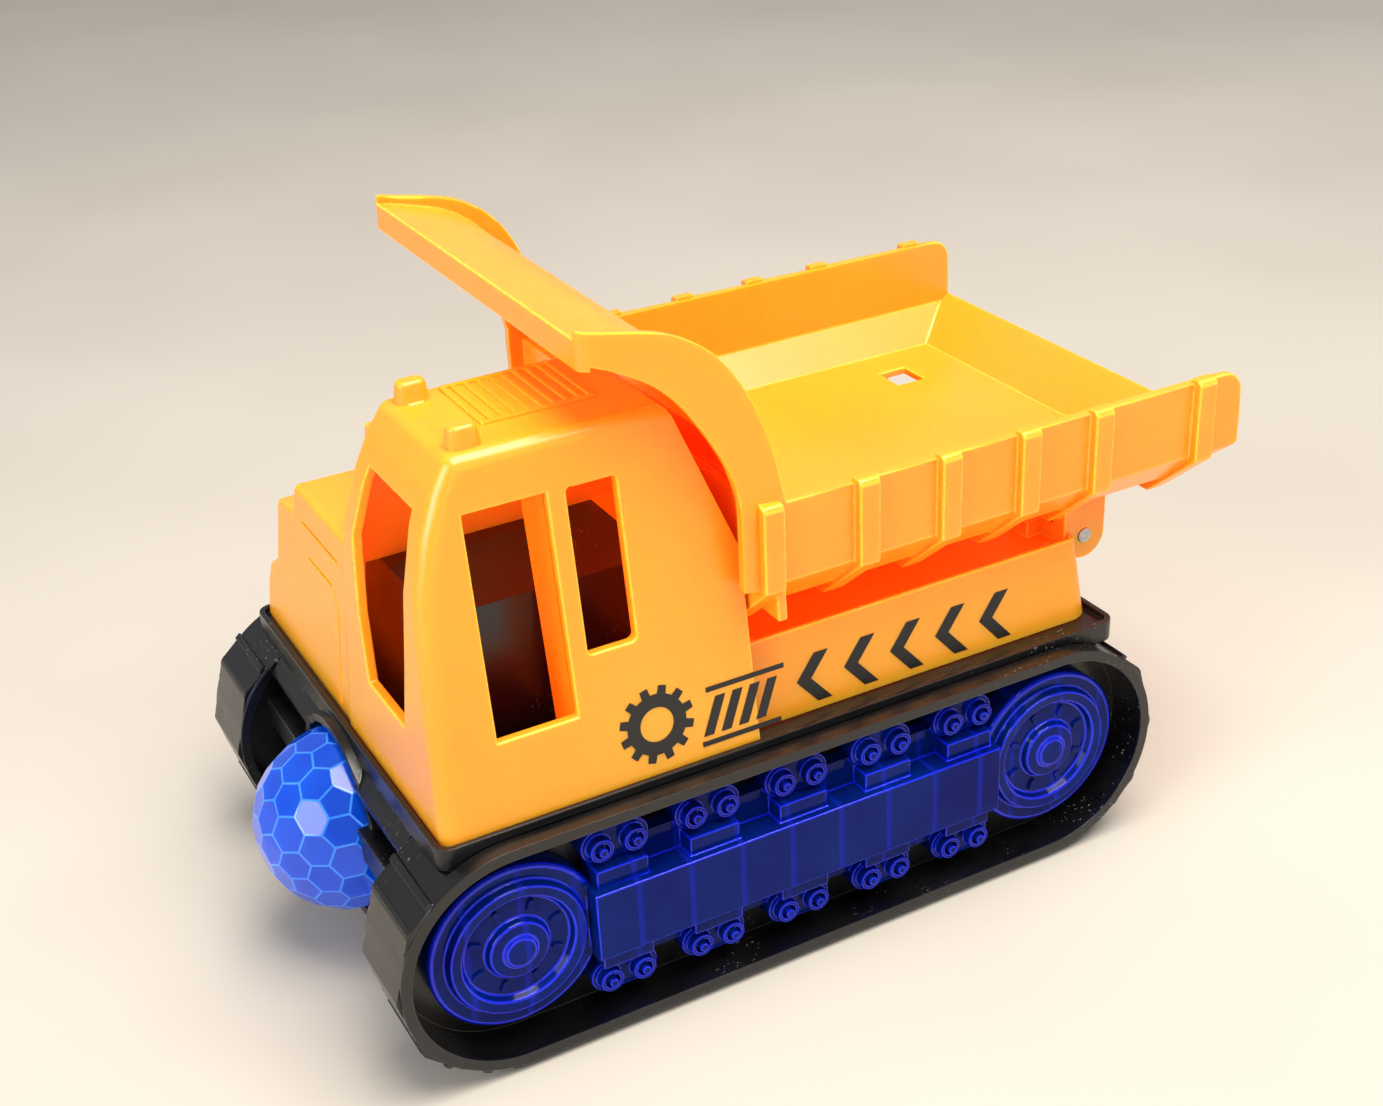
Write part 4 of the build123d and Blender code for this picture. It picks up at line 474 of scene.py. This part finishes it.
# ---------------------------------------------------------------- small metal and plastic parts
# Screws, pins, axles and contacts are zinc-plated steel; gears are white acetal; wheels, posts
# and plates are grey ABS; tyres are soft black rubber; cells have printed metal jackets.


def plain_finish(name, dark, light, size, bump=0.1, **shading):
    """A material with its own grain: two close tones and a fine bump at one real size."""
    material, where = new_material(name)
    grain = noise(material, where, size, 3.0)
    skin = add_node(material, "Bump", Strength=bump, Distance=0.05 * mm, Height=grain).outputs["Normal"]
    shader = add_node(material, "BsdfPrincipled", Base_Color=colour_between(material, grain, dark, light),
                      Normal=skin, **shading)
    return finish_material(material, shader.outputs["BSDF"])


zinc_steel = plain_finish("steel_zinc_plated", "#9A9CA0", "#C2C4C8", 0.6 * mm, Metallic=1.0, Roughness=0.3)
acetal = plain_finish("acetal_moulded_white", "#DAD8CE", "#ECEAE2", 2 * mm, Roughness=0.38, IOR=1.48)
grey_abs = plain_finish("abs_moulded_grey", "#3C3F44", "#50545A", 1 * mm, Roughness=0.42, IOR=1.54)
soft_rubber = plain_finish("rubber_moulded_black", "#0D0D0D", "#1A1A1A", 0.8 * mm, bump=0.3,
                           Roughness=0.75, IOR=1.52)
cell_jacket = plain_finish("steel_jacket_printed", "#2F3C46", "#3C4B57", 5 * mm, Metallic=0.5, Roughness=0.3)
laminate = plain_finish("phenolic_laminate_pressed", "#7A4B1E", "#94602B", 1.5 * mm, Roughness=0.5)
epoxy_case = plain_finish("epoxy_moulded_black", "#101114", "#1C1D21", 0.5 * mm, Roughness=0.4)
pressed_paper = plain_finish("paper_cone_pressed", "#151413", "#24211F", 0.7 * mm, bump=0.5, Roughness=0.9)
lamp_epoxy = plain_finish("epoxy_lamp_clear", "#D8E4FF", "#F2F6FF", 1 * mm, Roughness=0.08,
                          Transmission_Weight=0.8, IOR=1.54)
finishes = {
    "steel": zinc_steel, "gear_plastic": acetal, "grey_plastic": grey_abs, "tyre_rubber": soft_rubber,
    "battery_jacket": cell_jacket, "circuit_board": laminate, "electronics": epoxy_case,
    "speaker_cone": pressed_paper, "lamp_clear": lamp_epoxy, "black_plastic": black_wall,
    "yellow_plastic": yellow_wall, "blue_clear_plastic": blue_wall}
for entry in frame["record"]["subparts"]:
    shown = nodes[entry["node"]]
    shown.data.materials.clear()
    shown.data.materials.append(finishes[entry["material_slot"]])

# ---------------------------------------------------------------- floor, light and camera
# A pale matt floor, one broad soft light overhead, one from the front left and a weak fill.
floor_paint, floor_where = new_material("floor_pale_matt")
floor_tone = colour_between(floor_paint, noise(floor_paint, floor_where, 150 * mm, 2.0),
                            "#B9B2A8", "#C0BAB0")
finish_material(floor_paint, add_node(floor_paint, "BsdfPrincipled", Roughness=0.6,
                                      Base_Color=floor_tone).outputs["BSDF"])
floor = bmesh.new()
bmesh.ops.create_grid(floor, x_segments=1, y_segments=1, size=3.0)
new_object("floor", floor, (floor_paint,))

sky = bpy.data.worlds.new("studio")
sky.use_nodes = True
sky.node_tree.nodes["Background"].inputs["Color"].default_value = to_linear("#F4F6FA")
sky.node_tree.nodes["Background"].inputs["Strength"].default_value = 0.45
bpy.context.scene.world = sky
bpy.context.scene.view_settings.view_transform = "Standard"


def soft_light(name, place, target, size, power, colour):
    """A square soft light at a place, turned to face a target."""
    lamp = bpy.data.lights.new(name, "AREA")
    lamp.size = size
    lamp.energy = power
    lamp.color = to_linear(colour)[:3]
    holder = bpy.data.objects.new(name, lamp)
    holder.location = place
    holder.rotation_euler = (Vector(target) - Vector(place)).to_track_quat("-Z", "Y").to_euler()
    bpy.context.scene.collection.objects.link(holder)


middle = (0.0, 0.0, 0.06)
soft_light("overhead light", (-0.1, 0.25, 0.95), middle, 0.7, 17.0, "#FFF8EE")
soft_light("front light", (1.0, 0.25, 0.45), middle, 0.6, 7.5, "#FFFFFF")
soft_light("side fill", (0.05, 1.1, 0.35), middle, 0.8, 1.6, "#FFFDF8")

# The camera looks down on the front left corner with a 50 mm lens, rolled a little.
azimuth, elevation, roll = radians(152.52), radians(27.69), radians(-2.92)
backward = Vector((sin(azimuth) * cos(elevation), -cos(azimuth) * cos(elevation), sin(elevation)))
level_right = (-backward).cross(Vector((0, 0, 1))).normalized()
level_up = level_right.cross(-backward)
right = cos(roll) * level_right + sin(roll) * level_up
up = -sin(roll) * level_right + cos(roll) * level_up
lens_data = bpy.data.cameras.new("camera")
lens_data.lens = 49.79
lens_data.sensor_width = 36.0
lens_data.clip_start = 0.01
camera = bpy.data.objects.new("camera", lens_data)
turn = Matrix((right, up, backward)).transposed().to_4x4()
camera.matrix_world = Matrix.Translation((0.1625, 0.31225, 0.24862)) @ turn
bpy.context.scene.collection.objects.link(camera)
bpy.context.scene.camera = camera
